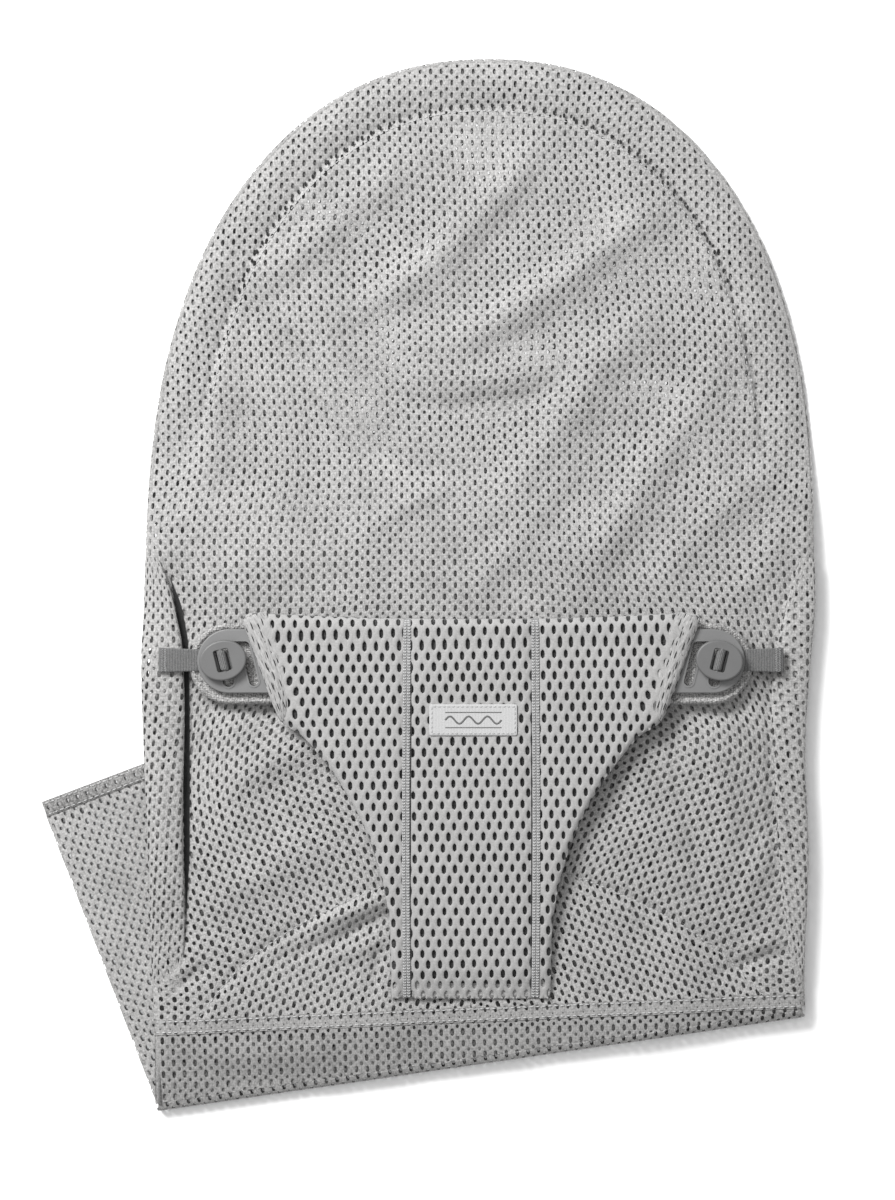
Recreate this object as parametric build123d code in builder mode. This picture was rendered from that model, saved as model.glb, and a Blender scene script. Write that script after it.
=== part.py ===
"""Fabric seat for a baby bouncer, laid flat with its foot end folded under it.

A mesh sleeve, closed along an arch at the head end, slips over a bouncer's frame.  A padded
harness panel is sewn to it low down, and its two wings carry keyhole plates.  Each plate buttons
over an oval button that hangs in a webbing loop sewn into the side of the sleeve.

Millimetres.  +X is to the right of the seat seen from above, +Y runs towards the head end and
+Z is up.  The origin is on the surface that the seat lies on, under the sleeve's centre line
where the harness's lower seam crosses it.
"""
from math import cos, pi, radians, sin
import os

from build123d import *

# Cloth layers
CLOTH = 1.2             # one layer of mesh
AIR = 0.3               # between layers that can slide on each other
POCKET = 5.0            # clear height inside the sleeve, where the frame goes
TALL = 60.0             # taller than the whole part
WIDE = 600.0            # wider than the whole part

# The sleeve seen from above
HALF_WIDTH = 203.0
ARCH_Y = 288.5          # where the straight sides end and the arch begins
ARCH_RISE = 286.7       # from there to the crown
ARCH_POWER = 2.22       # a little squarer than an ellipse, which would be 2
CROWN_LEAN = 5.5        # the crown lies this far to the right of the centre line
FOLD_LEFT = Vector(-197.0, -69.0)
FOLD_RIGHT = Vector(198.5, -11.0)
EDGE_WALL = 3.0         # width of the sewn edge that joins front and back
FACING = 27.0           # width of the facing inside the arch

# Heights of the sleeve: it lies on the folded tail, and comes down to the floor past it
LIFT = 2 * CLOTH + POCKET + AIR
RAMP_TOP_Y, RAMP_FOOT_Y = 266.0, 350.0
SEAT_LINE = [(-120.0, LIFT), (RAMP_TOP_Y, LIFT), (RAMP_FOOT_Y, 0.0), (620.0, 0.0)]
FRONT_LOW = CLOTH + POCKET
FRONT_HIGH = FRONT_LOW + CLOTH
SEAT_TOP = LIFT + FRONT_HIGH

# Seams of the lower seat
BAND_LEFT, BAND_RIGHT = Vector(-215.0, -13.5), Vector(215.0, 4.5)
BAND_WIDTH = 8.0
BAND_EXTRA = 0.4        # the band is sewn double
GUSSET_LEFT = [(-173.0, -12.5), (-108.0, 47.0), (-5.5, 91.0)]
GUSSET_RIGHT = [(173.0, 3.0), (108.0, 54.0), (-5.5, 91.0)]

# Side pleats, where the front layer is doubled and the straps are sewn in
PLEAT_WIDTH, PLEAT_HEIGHT = 21.0, 3.9
PLEAT_INSET = 12.0      # from the sleeve's edge to the pleat's middle
PLEAT_LOW_Y, PLEAT_HIGH_Y = 5.0, 262.0

# Tail, folded under about the fold line
HINGE_INSET = 5.0       # from the folded edge to the fold's axis
FLAT_START = 0.5        # from the axis to where the flat layers begin, above and below it
TAIL_MOUTH_LEFT = Vector(-268.4, 120.2)
TAIL_MOUTH_RIGHT = Vector(96.4, 258.0)
TAIL_HEM = 9.0

# Harness, symmetric about its own centre line
HARNESS_X = -5.5
HARNESS_START_Y = 1.5
WAIST_HALF = 48.5
WAIST_TOP = (49.0, 50.0)
FLARE_END = (104.0, 163.0)
WING_LOW = (115.0, 171.6)
WING_HIGH = (137.0, 231.0)
HARNESS_TOP_Y = 234.0
WING_EDGE = 9.0         # width of the rolled wing edge
SEAM_X = 39.0           # the two seam tapes
SEAM_TAPE = 4.0
PAD = 4.0               # thickness of the spacer mesh
PINCH = 1.0             # its thickness at the lower seam
PINCH_Y = 20.0
WING_FLAT_Y = 164.0     # from here up the harness lies level on the plates

# Stack under the wings
BACKING_LOW = SEAT_TOP + AIR
BACKING_HIGH = BACKING_LOW + 3.8
STRAP_LOW = BACKING_HIGH + AIR
STRAP_HIGH = STRAP_LOW + 2.4      # the webbing is double here
PLATE_LOW = STRAP_HIGH + AIR
PLATE_THICK = 2.0
PLATE_HIGH = PLATE_LOW + PLATE_THICK
BEZEL_WIDTH, BEZEL_HEIGHT = 1.1, 0.4
HARNESS_LOW = PLATE_HIGH + AIR
HARNESS_LINE = [(HARNESS_START_Y, SEAT_TOP + 0.5), (WING_FLAT_Y, HARNESS_LOW), (260.0, HARNESS_LOW)]

# Keyhole plates, buttons and straps, measured from the harness's centre line
PLATE_X, PLATE_Y, PLATE_RADIUS = 146.5, 207.0, 19.4
PLATE_INNER_X = 104.0
BACKING_GROW, BACKING_DROP = 5.2, 1.6
SLOT_TILT = 14.0        # the slots lean inwards towards the foot end
ENTRY_X, ENTRY_Y, ENTRY_WIDTH, ENTRY_SPAN = 134.3, 205.5, 5.6, 22.0
LOCK_X, LOCK_Y, LOCK_WIDTH, LOCK_SPAN = 149.6, 205.0, 6.8, 21.0
BUTTON_X, BUTTON_Y = 150.0, 207.5
BUTTON_LONG, BUTTON_SHORT, BUTTON_THICK = 28.8, 24.4, 3.2
BUTTON_GAP = 2.2
BUTTON_LOW = PLATE_HIGH + BEZEL_HEIGHT + BUTTON_GAP
WINDOW_WIDTH, WINDOW_LENGTH = 9.0, 13.2
BAR_RADIUS = 1.4
BAR_Z = BUTTON_LOW + 1.9
WEBBING = 1.0
LOOP_CLEAR = 0.15
LOOP_WIDTH = 12.2
STRAP_WIDTH = 15.0
STRAP_END_X = 189.5     # where the webbing comes out of the side seam

# Label
LABEL_X, LABEL_Y = -4.2, 171.5
LABEL_LONG, LABEL_SHORT, LABEL_THICK = 53.0, 19.0, 0.6

FOLD_ALONG = (FOLD_RIGHT - FOLD_LEFT).normalized()
FOLD_INWARD = Vector(-FOLD_ALONG.Y, FOLD_ALONG.X)
FOLD_INSET = HINGE_INSET + FLAT_START


def arch_point(turn, inset):
    """A point of the sleeve's arch, from 0 at the right over the crown to pi at the left."""
    across, up = cos(turn), sin(turn)
    side = 1 if across >= 0 else -1
    rise = max(up, 0.0) ** (2 / ARCH_POWER)
    return (
        (HALF_WIDTH - inset) * side * abs(across) ** (2 / ARCH_POWER) + CROWN_LEAN * rise,
        ARCH_Y + (ARCH_RISE - inset) * rise,
    )


def sleeve_outline(inset, fold_inset):
    """The sleeve from above, drawn in from its edge by inset, and by fold_inset at the fold."""
    low_left = FOLD_LEFT + FOLD_INWARD * fold_inset + FOLD_ALONG * inset
    low_right = FOLD_RIGHT + FOLD_INWARD * fold_inset - FOLD_ALONG * inset
    with BuildSketch() as plan:
        with BuildLine():
            arch = Spline(*[arch_point(pi * i / 16, inset) for i in range(17)],
                          tangents=((0, 1), (0, -1)))
            Polyline(arch @ 1, (low_left.X, low_left.Y), (low_right.X, low_right.Y), arch @ 0)
        make_face()
    return plan.sketch


def side_band(line, low, high):
    """A side view: the strip between two heights above a line that runs along Y."""
    with BuildSketch(Plane.YZ) as side:
        with BuildLine():
            lower = [(y, z + low) for y, z in line]
            upper = [(y, z + high) for y, z in reversed(line)]
            Polyline(*lower, *upper, close=True)
        make_face()
    return side.sketch


def below_line(start, end, drop):
    """Everything below a slanted line, moved down by drop."""
    with BuildSketch() as region:
        with BuildLine():
            Polyline((start.X, start.Y - drop), (end.X, end.Y - drop), (end.X, -WIDE),
                     (start.X, -WIDE), close=True)
        make_face()
    return region.sketch


def below_gusset(points):
    """Everything below a gusset's curved seam, on its own side of the harness's centre line."""
    with BuildSketch() as region:
        with BuildLine():
            seam = ThreePointArc(*points)
            Polyline(seam @ 1, (points[2][0], -WIDE), (points[0][0], -WIDE), seam @ 0)
        make_face()
    return region.sketch


def harness_outline():
    """The harness from above, with both wings."""
    with BuildSketch() as plan:
        with BuildLine(Plane.XY.offset(0)) as half:
            foot = Line((0, HARNESS_START_Y), (WAIST_HALF, HARNESS_START_Y))
            waist = Line(foot @ 1, WAIST_TOP)
            flare = TangentArc(waist @ 1, FLARE_END, tangent=waist % 1)
            Polyline(flare @ 1, WING_LOW, WING_HIGH, (0, HARNESS_TOP_Y), foot @ 0)
        make_face()
        corners = [plan.vertices().sort_by_distance(corner)[0] for corner in (WING_LOW, WING_HIGH)]
        fillet(corners, radius=6)
        mirror(about=Plane.YZ)
    return plan.sketch.moved(Location((HARNESS_X, 0, 0)))


def wing_edge_strip(side):
    """The strip along a wing's slanted edge, where the mesh is rolled over."""
    run = (Vector(*WING_HIGH) - Vector(*WING_LOW)).normalized()
    inward = Vector(-run.Y, run.X)
    low, high = Vector(*WING_LOW) - run * 30, Vector(*WING_HIGH) + run * 30
    corners = [low - inward * 40, high - inward * 40, high + inward * WING_EDGE, low + inward * WING_EDGE]
    with BuildSketch() as strip:
        with BuildLine():
            Polyline(*[(HARNESS_X + side * c.X, c.Y) for c in corners], close=True)
        make_face()
    return strip.sketch


def d_shape(side, radius, drop, inner_x):
    """A half round at the outer end, with straight edges that run in under the harness."""
    centre = HARNESS_X + side * PLATE_X
    inner = HARNESS_X + side * inner_x
    with BuildSketch() as shape:
        with Locations((centre, PLATE_Y - drop)):
            Circle(radius)
        with Locations(((centre + inner) / 2, PLATE_Y - drop)):
            Rectangle(abs(centre - inner), 2 * radius)
    return shape.sketch


def keyhole(side, grow):
    """The entry slot and the locking slot, joined across the top."""
    lean = -side * SLOT_TILT
    with BuildSketch() as slots:
        for x, y, width, span in ((ENTRY_X, ENTRY_Y, ENTRY_WIDTH, ENTRY_SPAN),
                                  (LOCK_X, LOCK_Y, LOCK_WIDTH, LOCK_SPAN)):
            with Locations(Location((HARNESS_X + side * x, y), 90 + lean)):
                SlotCenterToCenter(span, width + 2 * grow)
        top = ENTRY_Y + cos(radians(SLOT_TILT)) * ENTRY_SPAN / 2
        shift = sin(radians(SLOT_TILT)) * ENTRY_SPAN / 2
        with Locations((HARNESS_X + side * ((ENTRY_X + LOCK_X) / 2 + shift), top)):
            SlotCenterToCenter(LOCK_X - ENTRY_X, ENTRY_WIDTH + 2 * grow)
    return slots.sketch


def tail_region(far, inset):
    """The folded tail from above, drawn in by far at its mouth and by inset at its two sides."""
    left = FOLD_LEFT + FOLD_INWARD * FOLD_INSET + FOLD_ALONG * inset
    right = FOLD_RIGHT + FOLD_INWARD * FOLD_INSET - FOLD_ALONG * inset
    mouth_along = (TAIL_MOUTH_RIGHT - TAIL_MOUTH_LEFT).normalized()
    back = Vector(mouth_along.Y, -mouth_along.X) * far
    mouth_left = TAIL_MOUTH_LEFT + back + mouth_along * inset
    mouth_right = TAIL_MOUTH_RIGHT + back - mouth_along * inset
    with BuildSketch() as region:
        with BuildLine():
            Polyline(*[(c.X, c.Y) for c in (left, mouth_left, mouth_right, right)], close=True)
        make_face()
    return region.sketch


os.makedirs("parts", exist_ok=True)
pieces = {}


def keep(name, solid):
    """Labels a finished piece and puts it in the list to be written."""
    solid.label = name
    pieces[name] = solid


# ---- Sleeve ---------------------------------------------------------------------------------

with BuildPart() as seat_back_panel:
    extrude(sleeve_outline(0, FOLD_INSET), amount=TALL)
    extrude(side_band(SEAT_LINE, 0, CLOTH), amount=WIDE, both=True, mode=Mode.INTERSECT)
keep("seat_back_panel", seat_back_panel.part)

with BuildPart() as edge_seam:
    extrude(sleeve_outline(0, FOLD_INSET), amount=TALL)
    extrude(sleeve_outline(EDGE_WALL, -2 * EDGE_WALL), amount=TALL, mode=Mode.SUBTRACT)
    extrude(side_band(SEAT_LINE, CLOTH, FRONT_LOW), amount=WIDE, both=True, mode=Mode.INTERSECT)
keep("edge_seam", edge_seam.part)

with BuildPart() as arch_facing:
    extrude(sleeve_outline(EDGE_WALL, 0), amount=TALL)
    extrude(sleeve_outline(FACING, 0), amount=TALL, mode=Mode.SUBTRACT)
    with BuildSketch() as above_ramp:
        with Locations((0, RAMP_FOOT_Y)):
            Rectangle(WIDE, WIDE, align=(Align.CENTER, Align.MIN))
    extrude(above_ramp.sketch, amount=TALL, mode=Mode.INTERSECT)
    extrude(side_band(SEAT_LINE, FRONT_LOW - 0.8, FRONT_LOW), amount=WIDE, both=True, mode=Mode.INTERSECT)
keep("arch_facing", arch_facing.part)

with BuildPart() as seat_front_panel:
    extrude(sleeve_outline(0, FOLD_INSET), amount=TALL)
    for seam in (GUSSET_LEFT, GUSSET_RIGHT):
        extrude(below_gusset(seam), amount=TALL, mode=Mode.SUBTRACT)
    extrude(below_line(BAND_LEFT, BAND_RIGHT, 0), amount=TALL, mode=Mode.SUBTRACT)
    extrude(side_band(SEAT_LINE, FRONT_LOW, FRONT_HIGH), amount=WIDE, both=True, mode=Mode.INTERSECT)
keep("seat_front_panel", seat_front_panel.part)

for name, seam in (("left_leg_gusset", GUSSET_LEFT), ("right_leg_gusset", GUSSET_RIGHT)):
    with BuildPart() as leg_gusset:
        extrude(below_gusset(seam), amount=TALL)
        extrude(below_line(BAND_LEFT, BAND_RIGHT, 0), amount=TALL, mode=Mode.SUBTRACT)
        extrude(side_band(SEAT_LINE, FRONT_LOW, FRONT_HIGH), amount=WIDE, both=True, mode=Mode.INTERSECT)
    keep(name, leg_gusset.part)

with BuildPart() as seat_hem_band:
    extrude(sleeve_outline(0, FOLD_INSET), amount=TALL)
    extrude(below_line(BAND_LEFT, BAND_RIGHT, 0), amount=TALL, mode=Mode.INTERSECT)
    extrude(below_line(BAND_LEFT, BAND_RIGHT, BAND_WIDTH), amount=TALL, mode=Mode.SUBTRACT)
    extrude(side_band(SEAT_LINE, FRONT_LOW, FRONT_HIGH + BAND_EXTRA), amount=WIDE, both=True,
            mode=Mode.INTERSECT)
keep("seat_hem_band", seat_hem_band.part)

with BuildPart() as lower_front_panel:
    extrude(sleeve_outline(0, FOLD_INSET), amount=TALL)
    extrude(below_line(BAND_LEFT, BAND_RIGHT, BAND_WIDTH), amount=TALL, mode=Mode.INTERSECT)
    extrude(side_band(SEAT_LINE, FRONT_LOW, FRONT_HIGH), amount=WIDE, both=True, mode=Mode.INTERSECT)
keep("lower_front_panel", lower_front_panel.part)

for name, side in (("left_side_pleat", -1), ("right_side_pleat", 1)):
    with BuildPart() as side_pleat:
        start = Plane(origin=(side * (HALF_WIDTH - PLEAT_INSET), PLEAT_LOW_Y, SEAT_TOP),
                      x_dir=(1, 0, 0), z_dir=(0, -1, 0))
        with BuildSketch(start):
            with BuildLine():
                crown = ThreePointArc((-PLEAT_WIDTH / 2, 0), (0, PLEAT_HEIGHT), (PLEAT_WIDTH / 2, 0))
                Line(crown @ 1, crown @ 0)
            make_face()
        extrude(amount=-(PLEAT_HIGH_Y - PLEAT_LOW_Y))
        extrude(sleeve_outline(0.5, FOLD_INSET), amount=TALL, mode=Mode.INTERSECT)
    keep(name, side_pleat.part)

# ---- Tail -----------------------------------------------------------------------------------

for name, low in (("tail_front", 0.0), ("tail_back", FRONT_LOW)):
    with BuildPart() as tail_panel:
        extrude(tail_region(TAIL_HEM, 0), amount=CLOTH)
    keep(name + "_panel", tail_panel.part.moved(Location((0, 0, low))))
    with BuildPart() as tail_hem:
        extrude(tail_region(0, 0), amount=CLOTH)
        extrude(tail_region(TAIL_HEM, 0), amount=CLOTH, mode=Mode.SUBTRACT)
    keep(name + "_hem", tail_hem.part.moved(Location((0, 0, low))))

for name, pick in (("left_tail_edge", 0), ("right_tail_edge", -1)):
    with BuildPart() as tail_edges:
        extrude(tail_region(0, 0), amount=POCKET)
        extrude(tail_region(-EDGE_WALL, EDGE_WALL), amount=POCKET, mode=Mode.SUBTRACT)
    edge = tail_edges.solids().sort_by(Axis.X)[pick]
    keep(name, edge.moved(Location((0, 0, CLOTH))))

# ---- Harness --------------------------------------------------------------------------------


def harness_side(low, high):
    """The harness from the side: pinched thin at its lower seam, then full thickness."""
    with BuildSketch(Plane.YZ) as side:
        with BuildLine():
            (y0, z0), (y1, z1), (y2, z2) = HARNESS_LINE
            z_pinch = z0 + (z1 - z0) * (PINCH_Y - y0) / (y1 - y0)
            Polyline((y0, z0 + min(low, PINCH)), (PINCH_Y, z_pinch + low), (y1, z1 + low), (y2, z2 + low),
                     (y2, z2 + high), (y1, z1 + high), (PINCH_Y, z_pinch + high),
                     (y0, z0 + PINCH + max(high - PAD, 0)), close=True)
        make_face()
    return side.sketch


def strip_along(x, width):
    """A straight strip that runs the harness's whole length."""
    with BuildSketch() as strip:
        with Locations((x, HARNESS_TOP_Y / 2)):
            Rectangle(width, 2 * HARNESS_TOP_Y)
    return strip.sketch


with BuildPart() as harness_centre_panel:
    extrude(harness_outline(), amount=TALL)
    extrude(strip_along(HARNESS_X, 2 * SEAM_X - SEAM_TAPE), amount=TALL, mode=Mode.INTERSECT)
    extrude(harness_side(0, PAD), amount=WIDE, both=True, mode=Mode.INTERSECT)
keep("harness_centre_panel", harness_centre_panel.part)

for hand, side in (("left", -1), ("right", 1)):
    with BuildPart() as harness_panel:
        extrude(harness_outline(), amount=TALL)
        reach = SEAM_X + SEAM_TAPE / 2
        extrude(strip_along(HARNESS_X + side * (reach + WIDE / 2), WIDE), amount=TALL, mode=Mode.INTERSECT)
        extrude(wing_edge_strip(side), amount=TALL, mode=Mode.SUBTRACT)
        extrude(harness_side(0, PAD), amount=WIDE, both=True, mode=Mode.INTERSECT)
    keep(f"harness_{hand}_panel", harness_panel.part)

    with BuildPart() as seam_tape:
        extrude(harness_outline(), amount=TALL)
        extrude(strip_along(HARNESS_X + side * SEAM_X, SEAM_TAPE), amount=TALL, mode=Mode.INTERSECT)
        extrude(harness_side(0.2, PAD - 0.5), amount=WIDE, both=True, mode=Mode.INTERSECT)
    keep(f"{hand}_seam_tape", seam_tape.part)

    with BuildPart() as wing_edge:
        extrude(harness_outline(), amount=TALL)
        extrude(wing_edge_strip(side), amount=TALL, mode=Mode.INTERSECT)
        extrude(harness_side(0, PAD + 0.8), amount=WIDE, both=True, mode=Mode.INTERSECT)
    keep(f"{hand}_wing_edge", wing_edge.part)

    with BuildPart() as wing_backing:
        extrude(d_shape(side, PLATE_RADIUS + BACKING_GROW, BACKING_DROP, PLATE_INNER_X - 6),
                amount=BACKING_HIGH - BACKING_LOW)
        fillet(wing_backing.faces().sort_by(Axis.Z)[-1].edges(), radius=1.2)
    keep(f"{hand}_wing_backing", wing_backing.part.moved(Location((0, 0, BACKING_LOW))))

    with BuildPart() as keyhole_plate:
        extrude(d_shape(side, PLATE_RADIUS, 0, PLATE_INNER_X), amount=PLATE_THICK)
        fillet(keyhole_plate.faces().sort_by(Axis.Z)[-1].edges(), radius=0.7)
        extrude(keyhole(side, BEZEL_WIDTH), amount=PLATE_THICK + BEZEL_HEIGHT)
        extrude(keyhole(side, 0), amount=TALL, mode=Mode.SUBTRACT)
    keep(f"{hand}_keyhole_plate", keyhole_plate.part.moved(Location((0, 0, PLATE_LOW))))

with BuildPart() as woven_label:
    with BuildSketch() as label_plan:
        with Locations((LABEL_X, LABEL_Y)):
            RectangleRounded(LABEL_LONG, LABEL_SHORT, 1.2)
    extrude(label_plan.sketch, amount=TALL)
    extrude(harness_side(PAD, PAD + LABEL_THICK), amount=WIDE, both=True, mode=Mode.INTERSECT)
keep("woven_label", woven_label.part)

# ---- Straps and buttons ---------------------------------------------------------------------

for hand, side in (("left", -1), ("right", 1)):
    middle = HARNESS_X + side * BUTTON_X
    outer = HARNESS_X + side * STRAP_END_X
    loop_plane = Plane(origin=(middle, BUTTON_Y, 0), x_dir=(1, 0, 0), z_dir=(0, 0, 1)).rotated(
        (0, 0, -side * SLOT_TILT))
    loop_side = Plane(origin=loop_plane.origin, x_dir=loop_plane.x_dir, z_dir=-loop_plane.y_dir)

    with BuildPart() as strap:
        with BuildSketch(Plane.XY.offset(STRAP_LOW)):
            with BuildLine():
                inner = middle - side * (BAR_RADIUS + LOOP_CLEAR + WEBBING)
                Polyline((outer, BUTTON_Y - STRAP_WIDTH / 2), (outer, BUTTON_Y + STRAP_WIDTH / 2),
                         (inner, BUTTON_Y + LOOP_WIDTH / 2), (inner, BUTTON_Y - LOOP_WIDTH / 2), close=True)
            make_face()
        extrude(amount=STRAP_HIGH - STRAP_LOW)
        loop_reach = BAR_RADIUS + LOOP_CLEAR + WEBBING / 2
        with BuildSketch(loop_side) as loop_profile:
            with BuildLine():
                rise = Line((-loop_reach, STRAP_HIGH - WEBBING), (-loop_reach, BAR_Z))
                over = ThreePointArc(rise @ 1, (0, BAR_Z + loop_reach), (loop_reach, BAR_Z))
                Line(over @ 1, (loop_reach, STRAP_HIGH - WEBBING))
            trace(line_width=WEBBING)
        extrude(loop_profile.sketch, amount=LOOP_WIDTH / 2, both=True)
    keep(f"{hand}_strap", strap.part)

    with BuildPart() as strap_bartack:
        with BuildSketch(Plane.XY.offset(STRAP_HIGH)):
            with Locations((outer - side * 3.2, BUTTON_Y)):
                Rectangle(3.6, STRAP_WIDTH - 2)
        extrude(amount=0.4)
    keep(f"{hand}_strap_bartack", strap_bartack.part)

    with BuildPart() as button:
        with BuildSketch(loop_plane.offset(BUTTON_LOW)):
            Ellipse(BUTTON_LONG / 2, BUTTON_SHORT / 2)
        extrude(amount=BUTTON_THICK)
        fillet(button.edges().filter_by(GeomType.LINE, reverse=True), radius=1.2)
        with BuildSketch(loop_plane.offset(BUTTON_LOW)):
            RectangleRounded(WINDOW_WIDTH, WINDOW_LENGTH, 1.2)
        extrude(amount=BUTTON_THICK, mode=Mode.SUBTRACT)
        chamfer(button.faces().sort_by(Axis.Z)[-1].inner_wires().edges(), length=0.4)
        with Locations(loop_plane.offset(BAR_Z).location):
            Cylinder(BAR_RADIUS, WINDOW_LENGTH + 2, rotation=(90, 0, 0))
    keep(f"{hand}_button", button.part)

for name, piece in pieces.items():
    export_step(piece, f"parts/{name}.step")
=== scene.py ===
"""Looks for a baby bouncer's fabric seat: perforated mesh, a spacer-mesh harness, plastic and webbing.

Everything is modelled in millimetres in the seat's own frame and scaled to metres at the end.
"""

import math
import random

import bmesh
import bpy
import numpy as np
from mathutils import Matrix, Vector


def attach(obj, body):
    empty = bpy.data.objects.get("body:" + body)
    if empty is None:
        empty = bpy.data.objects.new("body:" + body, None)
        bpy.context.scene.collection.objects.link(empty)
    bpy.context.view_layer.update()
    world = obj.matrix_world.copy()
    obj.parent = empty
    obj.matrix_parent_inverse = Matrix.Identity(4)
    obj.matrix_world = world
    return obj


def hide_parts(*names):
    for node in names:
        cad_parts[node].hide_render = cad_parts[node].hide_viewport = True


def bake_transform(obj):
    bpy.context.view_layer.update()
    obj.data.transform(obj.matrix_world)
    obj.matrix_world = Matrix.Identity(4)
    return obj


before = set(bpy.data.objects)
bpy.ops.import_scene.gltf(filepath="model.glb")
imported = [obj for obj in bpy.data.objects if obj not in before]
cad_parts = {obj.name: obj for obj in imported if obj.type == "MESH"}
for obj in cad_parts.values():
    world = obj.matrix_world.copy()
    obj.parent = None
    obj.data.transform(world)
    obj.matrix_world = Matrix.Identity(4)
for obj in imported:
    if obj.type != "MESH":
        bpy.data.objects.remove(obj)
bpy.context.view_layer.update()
MM = 0.001

# ---- Camera, floor and light -----------------------------------------------------------------

VIEW_X, VIEW_Y, VIEW_SPAN = -0.0198, 0.244, 0.732
LENS, SENSOR = 85.0, 36.0

camera_data = bpy.data.cameras.new("camera")
camera_data.lens, camera_data.sensor_width = LENS, SENSOR
camera = bpy.data.objects.new("camera", camera_data)
camera.location = (VIEW_X, VIEW_Y, 0.012 + VIEW_SPAN * LENS / SENSOR)
bpy.context.collection.objects.link(camera)
bpy.context.scene.camera = camera


def area_light(name, place, aim, size, power):
    """A soft square light at place that points at aim."""
    light = bpy.data.lights.new(name, "AREA")
    light.shape, light.size, light.energy = "SQUARE", size, power
    lamp = bpy.data.objects.new(name, light)
    lamp.location = place
    lamp.rotation_euler = (Vector(aim) - Vector(place)).to_track_quat("-Z", "Y").to_euler()
    bpy.context.collection.objects.link(lamp)


area_light("key", (-0.95, 1.30, 1.42), (0, 0.25, 0), 0.7, 64)
area_light("top", (-0.3, 0.6, 2.6), (0, 0.25, 0), 2.0, 20)
bpy.context.scene.view_settings.view_transform = "Standard"
world = bpy.data.worlds.new("studio")
world.use_nodes = True
world.node_tree.nodes["Background"].inputs["Color"].default_value = (1, 1, 1, 1)
world.node_tree.nodes["Background"].inputs["Strength"].default_value = 0.42
bpy.context.scene.world = world

# ---- Finishes --------------------------------------------------------------------------------


def linear(grey, warm=0.0):
    """A display grey from 0 to 1 as a linear colour, a little warmer or cooler."""
    value = grey / 12.92 if grey <= 0.04045 else ((grey + 0.055) / 1.055) ** 2.4
    return (value * (1 + warm), value, value * (1 - warm), 1.0)


class Value:
    """A shader value.  Python arithmetic on it adds Math nodes to its finish."""

    def __init__(self, finish, socket):
        self.finish, self.socket = finish, socket

    def _math(self, operation, first, second):
        return self.finish.node("ShaderNodeMath", {"operation": operation}, {0: first, 1: second})

    def __add__(self, other):
        return self._math("ADD", self, other)

    def __radd__(self, other):
        return self._math("ADD", other, self)

    def __sub__(self, other):
        return self._math("SUBTRACT", self, other)

    def __rsub__(self, other):
        return self._math("SUBTRACT", other, self)

    def __mul__(self, other):
        return self._math("MULTIPLY", self, other)

    def __rmul__(self, other):
        return self._math("MULTIPLY", other, self)

    def clamped(self):
        return self.finish.node("ShaderNodeClamp", {}, {0: self})


class Finish:
    """A material, with one method that adds any node to it."""

    def __init__(self, name, roughness=0.9, **constants):
        self.material = bpy.data.materials.new(name)
        self.material.use_nodes = True
        self.tree = self.material.node_tree
        self.shader = self.tree.nodes["Principled BSDF"]
        self.shader.inputs["Roughness"].default_value = roughness
        for socket, value in constants.items():
            self.shader.inputs[socket.replace("_", " ")].default_value = value
        self.place = self.node("ShaderNodeTexCoord", {}, {}, "Object")

    def node(self, kind, settings, inputs, output=0):
        made = self.tree.nodes.new(kind)
        for name, value in settings.items():
            setattr(made, name, value)
        for key, value in inputs.items():
            if isinstance(value, Value):
                self.tree.links.new(value.socket, made.inputs[key])
            else:
                made.inputs[key].default_value = value
        return Value(self, made.outputs[output])

    def noise(self, scale, detail=2.0, stretch=None, roughness=0.5):
        place = self.place
        if stretch:
            place = self.node("ShaderNodeMapping", {}, {"Vector": self.place, "Scale": stretch})
        return self.node("ShaderNodeTexNoise", {}, {"Vector": place, "Scale": scale, "Detail": detail,
                                                    "Roughness": roughness}, "Fac")

    def mix(self, share, dark, light):
        mixed = self.node("ShaderNodeMix", {"data_type": "RGBA"}, {0: share, 6: dark, 7: light}, 2)
        return mixed

    def colour(self, value):
        self.tree.links.new(value.socket, self.shader.inputs["Base Color"])

    def relief(self, height, strength, distance):
        bump = self.node("ShaderNodeBump", {}, {"Height": height, "Strength": strength,
                                                "Distance": distance}, "Normal")
        self.tree.links.new(bump.socket, self.shader.inputs["Normal"])

    def roughness(self, value):
        self.tree.links.new(value.socket, self.shader.inputs["Roughness"])


def knit(name, dark, light, loop=(1.15, 1.7), contrast=1.0, depth=0.0004, strength=0.6):
    """Knitted polyester: loops of a size in millimetres, uneven yarn and larger clouds of tone."""
    finish = Finish(name, 0.92, Sheen_Weight=0.25, Sheen_Roughness=0.5)
    weave = finish.node("ShaderNodeAttribute", {"attribute_name": "weave"}, {}, "Vector")
    count = finish.node("ShaderNodeMapping", {}, {"Vector": weave, "Scale": (1 / loop[0], 1 / loop[1], 1)})
    loops = finish.node("ShaderNodeTexVoronoi", {"feature": "F1"},
                        {"Vector": count, "Scale": 1.0, "Randomness": 0.5}, "Distance")
    yarn = finish.node("ShaderNodeTexNoise", {}, {"Vector": count, "Scale": 0.85, "Detail": 3.0,
                                                  "Roughness": 0.6}, "Fac")
    cloud = finish.noise(30.0, 3.0)
    tone = 0.5 + ((yarn - 0.5) * 1.9 + (0.42 - loops) * 1.0) * contrast + (cloud - 0.5) * 0.5
    finish.colour(finish.mix(tone.clamped(), dark, light))
    finish.relief(yarn * 0.8 - loops, strength, depth)
    return finish.material


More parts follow.
